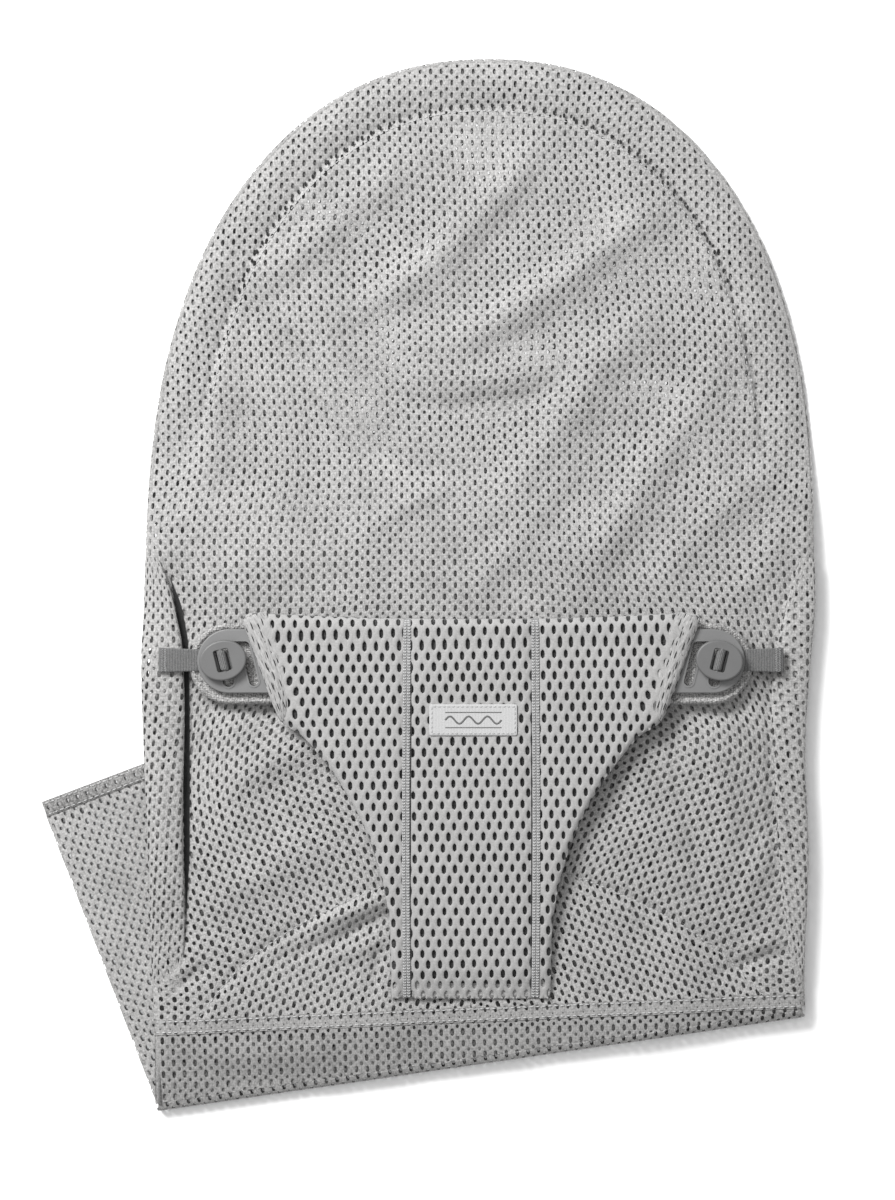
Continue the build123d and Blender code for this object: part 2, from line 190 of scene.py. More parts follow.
MESH = knit("knitted mesh", linear(0.46, 0.012), linear(0.69, 0.012), (0.95, 1.55), 0.9, 0.0003, 0.5)
# Darker than the front mesh: painted shade, for the rear layer seen through the front's holes
REAR_MESH_WITH_PAINTED_SHADE = knit("knitted mesh rear painted shade", linear(0.35, 0.012), linear(0.55, 0.012), (0.95, 1.55), 0.8,
                 0.0003, 0.5)
# Darker than the front mesh: painted shade where the cloth turns down at the foot
LOWER_MESH_WITH_PAINTED_SHADE = knit("knitted mesh foot painted shade", linear(0.41, 0.012), linear(0.62, 0.012), (0.95, 1.55), 0.8,
                  0.0003, 0.5)
HEM = knit("hemmed mesh", linear(0.43, 0.012), linear(0.63, 0.012), (1.1, 1.5), 0.9, 0.0004, 0.6)
LINING = knit("soft lining", linear(0.46, 0.01), linear(0.64, 0.01), (1.6, 1.2), 1.0, 0.0006, 0.8)
TAIL_HEM_CLOTH = knit("tail hem mesh", linear(0.34, 0.012), linear(0.58, 0.012), (1.1, 1.5), 1.1, 0.0005, 0.8)
SPACER = knit("spacer mesh", linear(0.525, 0.01), linear(0.63, 0.01), (0.9, 0.9), 0.6, 0.0002, 0.4)
ROLLED = knit("rolled spacer mesh", linear(0.48, 0.01), linear(0.68, 0.01), (0.7, 4.5), 0.8)
# Near black: painted shade inside the spacer mesh, seen through the harness's holes
CORE_WITH_PAINTED_SHADE = knit("spacer core painted shade", linear(0.05), linear(0.26), (1.2, 1.2))
TERRY = knit("soft knit", linear(0.34, 0.012), linear(0.72, 0.012), (1.4, 1.1), 1.1, 0.0008, 0.9)
PALE_THREAD = knit("pale sewing thread", linear(0.58), linear(0.76), (0.8, 0.8))
GREY_THREAD = knit("grey sewing thread", linear(0.36), linear(0.56), (0.8, 0.8))
# Near black: painted shade, laid in holes, slits and deep folds that are too narrow to model
SHADE_PAINT = knit("painted shade", linear(0.03), linear(0.12), (0.8, 0.8))


def moulded(name, grey):
    """Matt moulded plastic with a fine spark-eroded grain."""
    finish = Finish(name, 0.5, Specular_IOR_Level=0.4)
    grain, cloud = finish.noise(2600.0, 2.0), finish.noise(45.0, 2.0)
    finish.colour(finish.mix((0.5 + (grain - 0.5) * 0.5 + (cloud - 0.5) * 0.9).clamped(),
                             linear(grey - 0.035), linear(grey + 0.035)))
    finish.roughness(0.44 + (grain - 0.5) * 0.18)
    finish.relief(grain, 0.18, 0.0002)
    return finish.material


PLATE = moulded("grey plate plastic", 0.415)
BUTTON = moulded("grey button plastic", 0.36)


def webbing(name, dark, light, pitch, share, strength):
    """Narrow woven tape: raised ribs across it, and small floats of yarn."""
    finish = Finish(name, 0.85, Sheen_Weight=0.2, Sheen_Roughness=0.4)
    weave = finish.node("ShaderNodeAttribute", {"attribute_name": "weave"}, {}, "Vector")
    count = finish.node("ShaderNodeMapping", {}, {"Vector": weave, "Scale": (1 / pitch, 1 / pitch, 1)})
    ribs = finish.node("ShaderNodeTexWave",
                       {"wave_type": "BANDS", "bands_direction": "X", "wave_profile": "SIN"},
                       {"Vector": count, "Scale": 0.3142, "Distortion": 0.8, "Detail": 2.0,
                        "Detail Scale": 1.5}, "Fac")
    floats = finish.node("ShaderNodeTexNoise", {}, {"Vector": count, "Scale": 1.3, "Detail": 2.0}, "Fac")
    finish.colour(finish.mix((0.5 + (ribs - 0.5) * share + (floats - 0.5) * 1.3).clamped(), dark, light))
    finish.relief(ribs + floats * 0.5, strength, 0.0004)
    return finish.material


WEBBING = webbing("grey webbing", linear(0.23), linear(0.44), 0.95, 0.8, 0.5)
LABEL = webbing("woven label tape", linear(0.60), linear(0.72), 0.9, 0.3, 0.25)
PRINT = knit("woven label motif", linear(0.28), linear(0.42), (0.8, 0.8))

# ---- Shapes ----------------------------------------------------------------------------------


def smooth(low, high, value):
    """0 below low, 1 above high, and an even curve between."""
    share = np.clip((np.asarray(value, float) - low) / (high - low), 0, 1)
    return share * share * (3 - 2 * share)


def path(points, steps):
    """A smooth path through a few points, steps points for each gap."""
    p = np.array([points[0], *points, points[-1]], float)
    t = (np.arange(steps) / steps)[:, None]
    runs = [0.5 * (2 * b + (c - a) * t + (2 * a - 5 * b + 4 * c - d) * t**2 + (3 * b - a - 3 * c + d) * t**3)
            for a, b, c, d in zip(p, p[1:], p[2:], p[3:])]
    return np.vstack([*runs, p[-1:]])


class Outline:
    """A closed outline in plan that knows how deep inside it points lie."""

    def __init__(self, points):
        self.start = np.array(points, float)[:, :2]
        self.step = np.roll(self.start, -1, axis=0) - self.start

    def inside(self, where):
        """Whether each point is within the outline."""
        found = np.zeros(len(where), bool)
        y0, y1 = self.start[:, 1], self.start[:, 1] + self.step[:, 1]
        rise = np.where(self.step[:, 1] == 0, 1e-9, self.step[:, 1])
        for k in range(0, len(where), 8000):
            w = where[k:k + 8000, None, :]
            crosses = (y0 > w[..., 1]) != (y1 > w[..., 1])
            at = self.start[:, 0] + (w[..., 1] - y0) / rise * self.step[:, 0]
            found[k:k + 8000] = (crosses & (w[..., 0] < at)).sum(1) % 2 == 1
        return found

    def nearest(self, where):
        """(depth, positive inside; the nearest point of the outline) for each point."""
        gap, foot = np.zeros(len(where)), np.zeros((len(where), 2))
        square = np.maximum((self.step**2).sum(1), 1e-12)
        for k in range(0, len(where), 8000):
            w = where[k:k + 8000, None, :]
            arm = w - self.start
            share = np.clip((arm[..., 0] * self.step[:, 0] + arm[..., 1] * self.step[:, 1]) / square, 0, 1)
            dx = arm[..., 0] - self.step[:, 0] * share
            dy = arm[..., 1] - self.step[:, 1] * share
            far = dx * dx + dy * dy
            best = far.argmin(1)
            rows = np.arange(len(best))
            gap[k:k + 8000] = np.sqrt(far[rows, best])
            foot[k:k + 8000] = where[k:k + 8000] - np.c_[dx[rows, best], dy[rows, best]]
        return gap * np.where(self.inside(where), 1, -1), foot

    def depth(self, where):
        return self.nearest(where)[0]

    def size(self):
        """Width, length and area in metres, as the cloth was cut."""
        x, y = self.start.T
        area = abs((x * np.roll(y, -1) - y * np.roll(x, -1)).sum()) / 2
        return float(np.ptp(x)) * MM, float(np.ptp(y)) * MM, float(area) * MM * MM


def clip(points, limit, side):
    """The part of an outline where side * (x - limit) is not positive."""
    kept = []
    for a, b in zip(points, [*points[1:], points[0]]):
        da, db = side * (a[0] - limit), side * (b[0] - limit)
        if da <= 0:
            kept.append((a[0], a[1]))
        if da * db < 0:
            share = da / (da - db)
            kept.append((limit, a[1] + (b[1] - a[1]) * share))
    return kept


class Field:
    """A height over the plan, worked out once on a fine grid."""

    def __init__(self, height, low, high, step=2.0):
        self.low, self.step = np.array(low, float), step
        self.count = np.ceil((np.array(high, float) - self.low) / step).astype(int) + 1
        x, y = np.meshgrid(*[self.low[k] + step * np.arange(self.count[k]) for k in (0, 1)], indexing="ij")
        self.values = height(np.c_[x.ravel(), y.ravel()]).reshape(self.count)

    def __call__(self, where):
        at = (np.asarray(where, float) - self.low) / self.step
        cell = np.clip(np.floor(at).astype(int), 0, self.count - 2)
        (fx, fy), (i, j), v = (at - cell).T, cell.T, self.values
        low = v[i, j] * (1 - fx) + v[i + 1, j] * fx
        return low * (1 - fy) + (v[i, j + 1] * (1 - fx) + v[i + 1, j + 1] * fx) * fy


def link(name, bm, finish, body, node=None, smooth_faces=True, blend=None):
    """Turns a bmesh in millimetres into a finished piece that rides on a body."""
    bmesh.ops.transform(bm, matrix=Matrix.Scale(MM, 4), verts=bm.verts)
    mesh = bpy.data.meshes.new(name)
    bm.to_mesh(mesh)
    bm.free()
    if smooth_faces:
        mesh.polygons.foreach_set("use_smooth", [True] * len(mesh.polygons))
    piece = bpy.data.objects.new(name, mesh)
    for one in finish if isinstance(finish, (list, tuple)) else [finish]:
        mesh.materials.append(one)
    bpy.context.collection.objects.link(piece)
    if blend:
        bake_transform(piece)
    else:
        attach(piece, body)
    if node:
        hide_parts(*([node] if isinstance(node, str) else node))
    return piece


def reshape(bm, shape):
    """Moves every vertex to where shape puts it: an array of points in, an array of points out."""
    found = np.array([v.co for v in bm.verts])
    for v, to in zip(bm.verts, shape(found)):
        v.co = to


class Knit:
    """A knitting pattern: rows of large holes with rows of small ones between."""

    def __init__(self, pitch_x, pitch_y, large, small, cuts=1, walls=(), land=0.0,
                 swell=None):
        self.pitch, self.large, self.small = (pitch_x, pitch_y), large, small
        self.cuts, self.walls, self.land, self.swell = cuts, walls, land, swell

    def cloth(self, outline, turn=0.0, middle=None, lip=0.35, drift=None):
        """Flat cloth cut to an outline, with its holes.  Its z is how far a point sinks by a hole."""
        px, py = self.pitch
        low, high = outline.start.min(0), outline.start.max(0)
        middle = (low + high) / 2 if middle is None else np.array(middle, float)
        reach = np.linalg.norm(high - low)
        cells = 2 * (int(reach / min(px, py) / 2 * 1.5) + 3)
        bm = bmesh.new()
        bmesh.ops.create_grid(bm, x_segments=cells, y_segments=cells, size=cells / 2 * math.sqrt(0.5))
        lay = Matrix.Translation((*middle, 0)) @ Matrix.Rotation(turn, 4, "Z")
        fit = Matrix.Diagonal((px, py, 1, 1)) @ Matrix.Rotation(math.pi / 4, 4, "Z")
        bmesh.ops.transform(bm, matrix=lay @ fit, verts=bm.verts)
        corners = np.array([v.co[:2] for v in bm.verts])
        inside = outline.inside(drift(corners) if drift else corners)
        bm.verts.index_update()
        outer = [f for f in bm.faces if not any(inside[v.index] for v in f.verts)]
        bmesh.ops.delete(bm, geom=outer, context="FACES")
        bmesh.ops.bisect_edges(bm, edges=bm.edges[:], cuts=self.cuts)
        back = lay.inverted()
        holes = list(bm.faces)
        centres = [f.calc_center_median() for f in holes]
        bmesh.ops.inset_individual(bm, faces=holes, thickness=0.6, depth=0)
        if self.land:
            self._shape(holes, centres, lay, back, self.land, -0.06 * lip)
            bmesh.ops.inset_individual(bm, faces=holes, thickness=0.05, depth=0)
        self._shape(holes, centres, lay, back, 1.0, -lip)
        for shrink, sink in self.walls:
            bmesh.ops.inset_individual(bm, faces=holes, thickness=0.05, depth=0)
            self._shape(holes, centres, lay, back, shrink, -sink)
        bmesh.ops.delete(bm, geom=holes, context="FACES_ONLY")
        bmesh.ops.delete(bm, geom=[v for v in bm.verts if not v.link_faces], context="VERTS")
        weave = bm.verts.layers.float_vector.new("weave")
        for v in bm.verts:
            v[weave] = back @ v.co
        if drift:
            found = np.array([v.co for v in bm.verts])
            found[:, :2] = drift(found[:, :2])
            for v, to in zip(bm.verts, found):
                v.co = to
        return bm

    def _shape(self, holes, centres, lay, back, shrink, sink):
        """Rounds the innermost ring of each cell to the hole's oval."""
        px, py = self.pitch
        luck = random.Random(3)
        turned = lay.to_3x3()
        for face, centre in zip(holes, centres):
            local = back @ centre
            row = round(2 * local.y / py)
            half_w, half_h = self.large if row % 2 == 0 else self.small
            size = shrink * luck.uniform(0.9, 1.08)
            if self.swell:
                low, high, share = self.swell
                size *= 1 + share * (1 - float(smooth(low, high, centre.y)))
            shift = Vector((luck.uniform(-0.14, 0.14), luck.uniform(-0.14, 0.14), 0))
            for v in face.verts:
                arm = back @ v.co - local
                a = math.atan2(arm.y / py, arm.x / px)
                full = size * (abs(math.cos(a)) ** 2.6 + abs(math.sin(a)) ** 2.6) ** (-1 / 2.6)
                spot = shift + Vector((half_w * full * math.cos(a), half_h * full * math.sin(a), 0))
                v.co = centre + turned @ spot
                v.co.z = sink


def lay_cloth(bm, outline, surface, squeeze=None, ragged=0.0):
    """Pulls stray edges of flat cloth to its outline, then lifts it to a surface over the plan."""
    found = np.array([v.co for v in bm.verts])
    plan, sink = found[:, :2], found[:, 2]
    stray = ~outline.inside(plan)
    if stray.any():
        depth, foot = outline.nearest(plan[stray])
        stay = np.minimum(0.5, ragged / np.maximum(-depth, 1e-6))[:, None]
        plan[stray] = foot + (plan[stray] - foot) * stay
    places = surface(squeeze(plan) if squeeze else plan)
    places[:, 2] += sink
    for v, to in zip(bm.verts, places):
        v.co = to


def on(height, lift=0.0):
    """The surface at a height over the plan."""
    return lambda plan: np.c_[plan, height(plan) + lift]


def pillow(outline, step, top, bottom):
    """A closed soft body over an outline, whose two faces meet at its edge."""
    low, high = outline.start.min(0), outline.start.max(0)
    count = np.ceil((high - low) / step).astype(int) + 1
    bm = bmesh.new()
    bmesh.ops.create_grid(bm, x_segments=int(count[0]), y_segments=int(count[1]), size=1)
    spread = Matrix.Diagonal((*((high - low) / 2 + 0.01), 1, 1))
    bmesh.ops.transform(bm, matrix=Matrix.Translation((*((low + high) / 2), 0)) @ spread, verts=bm.verts)
    weave = bm.verts.layers.float_vector.new("weave")
    for v in bm.verts:
        v[weave] = v.co
    inside = outline.inside(np.array([v.co[:2] for v in bm.verts]))
    bm.verts.index_update()
    outer = [f for f in bm.faces if not any(inside[v.index] for v in f.verts)]
    bmesh.ops.delete(bm, geom=outer, context="FACES")
    under = bm.copy()
    for half, surface in ((bm, top), (under, bottom)):
        lay_cloth(half, outline, surface)
    for face in under.faces:
        face.material_index = 1
    bmesh.ops.reverse_faces(under, faces=under.faces)
    merge(bm, under)
    bmesh.ops.remove_doubles(bm, verts=bm.verts, dist=1e-3)
    return bm


SEAT_KNIT = Knit(6.55, 7.0, (1.0, 1.9), (0.86, 1.05), swell=(130, 300, 0.15))
TAIL_KNIT = Knit(6.55, 7.0, (1.08, 1.8), (0.9, 1.15))
HEM_KNIT = Knit(6.3, 7.2, (0.95, 1.45), (0.42, 0.5))
HARNESS_KNIT = Knit(6.95, 12.9, (1.32, 2.72), (1.32, 2.72), 2, [(0.97, 1.0), (0.94, 1.9)], 1.24)
ROLL_KNIT = Knit(3.9, 12.8, (0.42, 2.9), (0.36, 2.6))


def merge(target, extra):
    """Adds one bmesh to another."""
    holder = bpy.data.meshes.new("holder")
    extra.to_mesh(holder)
    target.from_mesh(holder)
    bpy.data.meshes.remove(holder)
    extra.free()


def ribbon(points, half_width, half_height, around=10, power=2.6, sides=None):
    """A closed flat tube along points, with rounded edges.  sides gives its width direction."""
    line = np.array(points, float)
    along = np.gradient(line, axis=0)
    along /= np.linalg.norm(along, axis=1)[:, None]
    side = np.cross(along, (0, 0, 1.0)) if sides is None else np.array(sides, float)
    side /= np.linalg.norm(side, axis=1)[:, None]
    rise = np.cross(side, along)
    half_width = np.broadcast_to(np.asarray(half_width, float), len(line))
    run = np.r_[0, np.cumsum(np.linalg.norm(np.diff(line, axis=0), axis=1))]
    bm = bmesh.new()
    bmesh.ops.create_grid(bm, x_segments=len(line) - 1, y_segments=around, size=1)
    weave = bm.verts.layers.float_vector.new("weave")
    found = np.array([v.co for v in bm.verts])
    i = np.rint((found[:, 0] + 1) / 2 * (len(line) - 1)).astype(int)
    a = (found[:, 1] + 1) * math.pi
    c, s = np.cos(a), np.sin(a)
    wide = np.sign(c) * np.abs(c) ** (2 / power) * half_width[i]
    tall = np.sign(s) * np.abs(s) ** (2 / power) * half_height
    places = line[i] + side[i] * wide[:, None] + rise[i] * tall[:, None]
    for v, to, flat in zip(bm.verts, places, np.c_[run[i], wide, tall]):
        v.co = to
        v[weave] = flat
    bmesh.ops.remove_doubles(bm, verts=bm.verts, dist=1e-4)
    bmesh.ops.holes_fill(bm, edges=[e for e in bm.edges if e.is_boundary], sides=0)
    bmesh.ops.recalc_face_normals(bm, faces=bm.faces)
    return bm


def beads(places):
    """Small closed ovals, one for each matrix: single stitches."""
    bm = bmesh.new()
    for k in range(0, len(places), 60):
        some = bmesh.new()
        for place in places[k:k + 60]:
            bmesh.ops.create_uvsphere(some, u_segments=6, v_segments=4, radius=1, matrix=place)
        merge(bm, some)
    weave = bm.verts.layers.float_vector.new("weave")
    for v in bm.verts:
        v[weave] = v.co
    return bm


def stitches(points, length, gap, thick=0.45, lift=0.25, slant=0.0, side=0.0, shift=0.0):
    """Sewing stitches that follow a path on the cloth, slanted or moved to one side of it."""
    line = np.array(points, float)
    run = np.r_[0, np.cumsum(np.linalg.norm(np.diff(line, axis=0), axis=1))]
    places = []
    for at in np.arange(shift, run[-1] - length, length + gap):
        low, high = (Vector([np.interp(at + d, run, line[:, k]) for k in range(3)]) for d in (0, length))
        way = (high - low).normalized()
        across = way.cross(Vector((0, 0, 1)))
        turn = way.to_track_quat("X", "Z").to_matrix().to_4x4() @ Matrix.Rotation(slant, 4, "Z")
        middle = (low + high) / 2 + Vector((0, 0, lift)) + across * side
        places.append(Matrix.Translation(middle) @ turn @ Matrix.Diagonal((length * 0.54, thick, thick, 1)))
    return beads(places)


def sheet(outline):
    """Works out the size that a single layer of cloth was cut to; a curved strip counts as straight."""
    width, length, area = outline.size()
    if area < 0.35 * width * length:
        length = float(np.linalg.norm(outline.step, axis=1).sum()) / 2 * MM
        width = max(area / length, 0.0102)
    min(area, width * length)


# ---- The sleeve's plan and heights -----------------------------------------------------------

HALF_WIDTH, ARCH_Y, ARCH_RISE, ARCH_POWER, CROWN_LEAN = 203.0, 288.5, 286.7, 2.22, 5.5
FOLD_LEFT, FOLD_RIGHT = np.array([-197.0, -69.0]), np.array([198.5, -11.0])
FOLD_ALONG = (FOLD_RIGHT - FOLD_LEFT) / np.linalg.norm(FOLD_RIGHT - FOLD_LEFT)
FOLD_INWARD = np.array([-FOLD_ALONG[1], FOLD_ALONG[0]])
FOLD_INSET, ROLL_RADIUS = 5.5, 5.5
LEFT_SIDE = [(-203, 288), (-204.2, 240), (-205.6, 200), (-204, 150), (-201.5, 90), (-199.5, 30), (-198, -25)]
RIGHT_SIDE = [(198, -6), (197.3, 25), (199.5, 90), (197.3, 150), (200.5, 205), (203.5, 240), (203, 288)]


def arch(inset=0.0, steps=72):
    """Points of the arch from the right side over the crown to the left, drawn in by inset."""
    turn = np.linspace(0, math.pi, steps)
    across, up = np.cos(turn), np.maximum(np.sin(turn), 0)
    rise = up ** (2 / ARCH_POWER)
    x = (HALF_WIDTH - inset) * np.sign(across) * np.abs(across) ** (2 / ARCH_POWER) + CROWN_LEAN * rise
    return np.c_[x, ARCH_Y + (ARCH_RISE - inset) * rise]


fold_left_end = FOLD_LEFT + FOLD_INWARD * FOLD_INSET
fold_right_end = FOLD_RIGHT + FOLD_INWARD * FOLD_INSET
SLEEVE = Outline([*arch(), *path(LEFT_SIDE, 6)[1:], fold_left_end, fold_right_end, *path(RIGHT_SIDE, 6)[:-1]])
SIDES = Outline([*arch(), *path(LEFT_SIDE, 6)[1:], FOLD_LEFT, (-197, -400), (198.5, -400), FOLD_RIGHT,
                 *path(RIGHT_SIDE, 6)[:-1]])


BAND_LEFT, BAND_RIGHT, BAND_WIDTH = np.array([-215.0, -13.5]), np.array([215.0, 4.5]), 8.0


def band_y(x, drop=0.0):
    """The hem band's upper edge, moved down by drop."""
    slope = (BAND_RIGHT[1] - BAND_LEFT[1]) / (BAND_RIGHT[0] - BAND_LEFT[0])
    return BAND_LEFT[1] + slope * (np.asarray(x) - BAND_LEFT[0]) - drop


def lifted(y):
    """1 where the sleeve lies on the tail, 0 where it lies on the floor."""
    return 1 - smooth(268, 352, y)


# Soft folds of the seat: points, width and height, below nought for a groove
RIDGES = [
    ([(-150, 425), (-95, 470), (-40, 512)], 11, 3.4),
    ([(-92, 412), (-28, 452), (24, 506), (34, 530)], 11, 3.8),
    ([(-20, 398), (48, 438), (112, 486)], 11, 4.4),
    ([(6, 290), (40, 338), (70, 384), (108, 430)], 13, 4.0),
    ([(60, 254), (98, 312), (150, 392)], 12, 3.8),
    ([(-4, 250), (34, 296), (62, 336)], 9, 2.2),
    ([(-70, 286), (-44, 303), (-14, 316)], 7, 2.4),
    ([(112, 262), (144, 296), (184, 330)], 10, 2.4),
    ([(-52, 384), (2, 380), (56, 394)], 10, 2.6),
    ([(-50, 366), (2, 361), (50, 373)], 6, -2.2),
    ([(-146, 428), (-104, 384), (-68, 336), (-14, 318)], 7, -2.4),
    ([(-130, 428), (-88, 390), (-52, 350), (-2, 329)], 9, 2.8),
    ([(-70, 246), (-64, 290), (-92, 334)], 13, 1.8),
    ([(-178, 296), (-160, 350), (-150, 404)], 11, 2.2),
    ([(152, 396), (170, 430), (150, 470)], 12, 1.8),
    ([(150, 246), (172, 262), (188, 300)], 9, 1.8),
    ([(-168, 120), (-130, 143), (-92, 162)], 11, 2.6),
    ([(-172, 52), (-130, 80), (-80, 104)], 13, 2.4),
    ([(-124, 24), (-90, 36), (-68, 46), (-40, 58)], 3.8, -2.5),
    ([(-102, 47), (-74, 57), (-48, 68)], 6, 3.6),
    ([(-92, 26), (-70, 33), (-50, 42)], 5.5, 2.0),
    ([(-66, 2), (-62, 22), (-58, 42)], 4, -1.8),
    ([(92, 158), (102, 110), (124, 62)], 10, 2.6),
    ([(140, 158), (150, 112), (148, 72)], 9, 2.2),
    ([(116, 162), (126, 112), (138, 68)], 6, -1.8),
    ([(178, 100), (168, 78), (158, 48)], 8, 2.0),
    ([(60, 62), (76, 34), (96, 12)], 7, 2.0),
    ([(48, 40), (60, 22), (72, 6)], 6, 1.6),
    ([(110, 44), (124, 24), (138, 10)], 7, 1.4),
    ([(140, 14), (162, 22), (184, 27), (200, 25)], 3.6, -2.2),
    ([(160, 32), (182, 37), (200, 34)], 5, 2.4),
    ([(-200, 0), (-186, 6), (-166, 22)], 3.4, -2.6),
    ([(-200, 9), (-186, 15), (-176, 26)], 5, 1.8),
    ([(-173, -12.5), (-145, 21), (-108, 47), (-60, 70), (-5, 91)], 2.4, -1.5),
    ([(173, 3), (144, 31), (108, 54), (56, 76), (-5, 91)], 2.4, -1.5),
    ([(-196, -24), (-150, -33), (-90, -30)], 9, 1.2),
]
# Where the knit turns: centre, reach and angle
SWIRLS = [((-128, 72), 104, 0.43), ((130, 84), 104, -0.46), ((-150, 400), 90, 0.05), ((62, 452), 84, 0.05),
          ((122, 330), 74, -0.05), ((-150, 262), 50, 0.05)]


def drift(where):
    """Turns the knit a little here and there, as it does in slack cloth."""
    moved = where.copy()
    for (x, y), reach, turn in SWIRLS:
        arm = where - (x, y)
        a = turn * np.exp(-(np.linalg.norm(arm, axis=1) / reach) ** 3)
        c, s = np.cos(a), np.sin(a)
        moved += np.c_[arm[:, 0] * (c - 1) - arm[:, 1] * s, arm[:, 0] * s + arm[:, 1] * (c - 1)]
    x, y = where[:, 0], where[:, 1]
    moved[:, 0] += 1.3 * np.sin(y / 33 + x / 61) + 0.5 * np.sin(y / 13 + 2)
    moved[:, 1] += 1.5 * np.sin(x / 37 - y / 57) + 0.5 * np.sin(x / 14)
    return moved


def wrinkles(where):
    """The height that the soft folds add or take away."""
    height = np.zeros(len(where))
    for points, width, rise in RIDGES:
        line = path(points, 5)
        a, step = line[:-1], np.diff(line, axis=0)
        arm = where[:, None, :] - a
        share = np.clip((arm * step).sum(2) / (step**2).sum(1), 0, 1)
        gap = ((arm - step * share[..., None]) ** 2).sum(2)
        best = gap.argmin(1)
        rows = np.arange(len(best))
        along = (best + share[rows, best]) / len(step)
        ends = np.sin(math.pi * np.clip(along, 0.05, 0.95)) ** 0.7
        height += rise * np.exp(-gap[rows, best] / width**2) * ends
    x, y = where[:, 0], where[:, 1]
    height += 0.8 * np.sin(x / 21 + y / 34) * np.sin(y / 27 - x / 49 + 1.3)
    return height + 0.35 * np.sin(x / 9.5 - y / 13) * np.sin(y / 11 + x / 17)


HX = -5.5
PLEAT_INNER = {-1: np.array([(-10, -184), (30, -181.5), (62, -181), (119, -181), (205, -181.5), (232, -184.5),
                             (258, -191), (275, -199)], float),
               1: np.array([(-10, 195), (24, 190), (70, 184), (120, 180), (190, 179), (225, 183), (255, 190),
                            (275, 197)], float)}
PLEAT_RISE = {-1: 1.0, 1: 0.4}


def pleat_inner(side, y):
    """The inner fold of a side pleat."""
    return np.interp(y, *path(PLEAT_INNER[side], 6).T)


def seam_height(x, y):
    return 2.4 + (11.2 - 2.4) * lifted(y) - 2.3 * smooth(0, 52, band_y(x, BAND_WIDTH) - y)


def front_height(where):
    """The top of the sleeve's front layer."""
    x, y = where[:, 0], where[:, 1]
    up = lifted(y)
    inset = SIDES.depth(where)
    level = 3.9 + (14.0 - 3.9) * up
    level += wrinkles(where) * smooth(5, 24, inset) * np.where(y > 255, 1.2, 1.25)
    arched = smooth(318, 372, y)
    swell, dip = np.exp(-(((inset - 13) / 8) ** 2)), np.exp(-(((inset - 28.2) / 1.8) ** 2))
    level += arched * (2.0 * swell - 2.2 * dip)
    level += arched * 0.8 * np.exp(-(((inset - 34) / 4) ** 2))
    for side, deep in ((-1, 6.4), (1, 1.8)):
        away = side * (x - pleat_inner(side, y))
        gully = np.exp(-(((away + 1.8) / 3.4) ** 2)) + 0.4 * np.exp(-(((away + 10) / 9) ** 2))
        level -= deep * gully * smooth(10, 100, y) * (1 - smooth(240, 278, y))
    reach = np.abs(x - HX)
    level -= 4.6 * np.exp(-(((y - 179) / 8) ** 2)) * smooth(86, 104, reach) * (1 - smooth(160, 174, reach))
    level += 1.4 * np.exp(-(((x + 150) / 12) ** 2)) * smooth(60, 120, y) * (1 - smooth(180, 240, y))
    level -= 5.5 * smooth(0, 52, band_y(x, BAND_WIDTH) - y)
    rear_level, free = 0.7 + (8.3 - 0.7) * up, smooth(2, 8, inset)
    level = np.maximum(level, rear_level + 1.1 * free)
    inner = np.clip((6.5 - inset) / 6.5, 0, 1)
    return level - (level - seam_height(x, y)) * (1 - np.sqrt(1 - inner**2))


def back_height(where):
    x, y = where[:, 0], where[:, 1]
    level = 0.7 + (8.3 - 0.7) * lifted(y)
    inner = np.clip((5 - SIDES.depth(where)) / 5, 0, 1)
    return level + (seam_height(x, y) - level) * (1 - np.sqrt(1 - inner**2))


front = Field(front_height, (-212, -76), (212, 580))
rear = Field(back_height, (-212, -76), (212, 580), 3.0)

# ---- Sleeve ----------------------------------------------------------------------------------

GUSSET_LEFT = [(-173.0, -12.5), (-145, 21), (-108.0, 47.0), (-60, 70), (-5.5, 91.0)]
GUSSET_RIGHT = [(173.0, 3.0), (144, 31), (108.0, 54.0), (56, 76), (-5.5, 91.0)]


left_seam, right_seam = path(GUSSET_LEFT, 6), path(GUSSET_RIGHT, 6)
left_side, right_side = path(LEFT_SIDE, 6), path(RIGHT_SIDE, 6)
front_outline = Outline([*arch(), *[p for p in left_side[1:] if p[1] > -12], (-198.6, band_y(-198.6)),
                         (-173, band_y(-173)), *left_seam[1:], *right_seam[::-1][1:],
                         (197.5, band_y(197.5)), *[p for p in right_side[:-1] if p[1] > 5]])
lower_outline = Outline([(-198.2, band_y(-198.2, BAND_WIDTH)), fold_left_end, fold_right_end,
                         (198, band_y(198, BAND_WIDTH))])
band_outline = Outline([(-198.6, band_y(-198.6, -0.4)), (-198.4, band_y(-198.4, BAND_WIDTH + 0.4)),
                        (198, band_y(198, BAND_WIDTH + 0.4)), (198, band_y(198, -0.4))])
facing_outline = Outline([*arch(4.0), *arch(27.0)[::-1]])
harness_foot = (-5.5, float(band_y(-5.5)))
tilt = math.atan2(BAND_RIGHT[1] - BAND_LEFT[1], BAND_RIGHT[0] - BAND_LEFT[0])

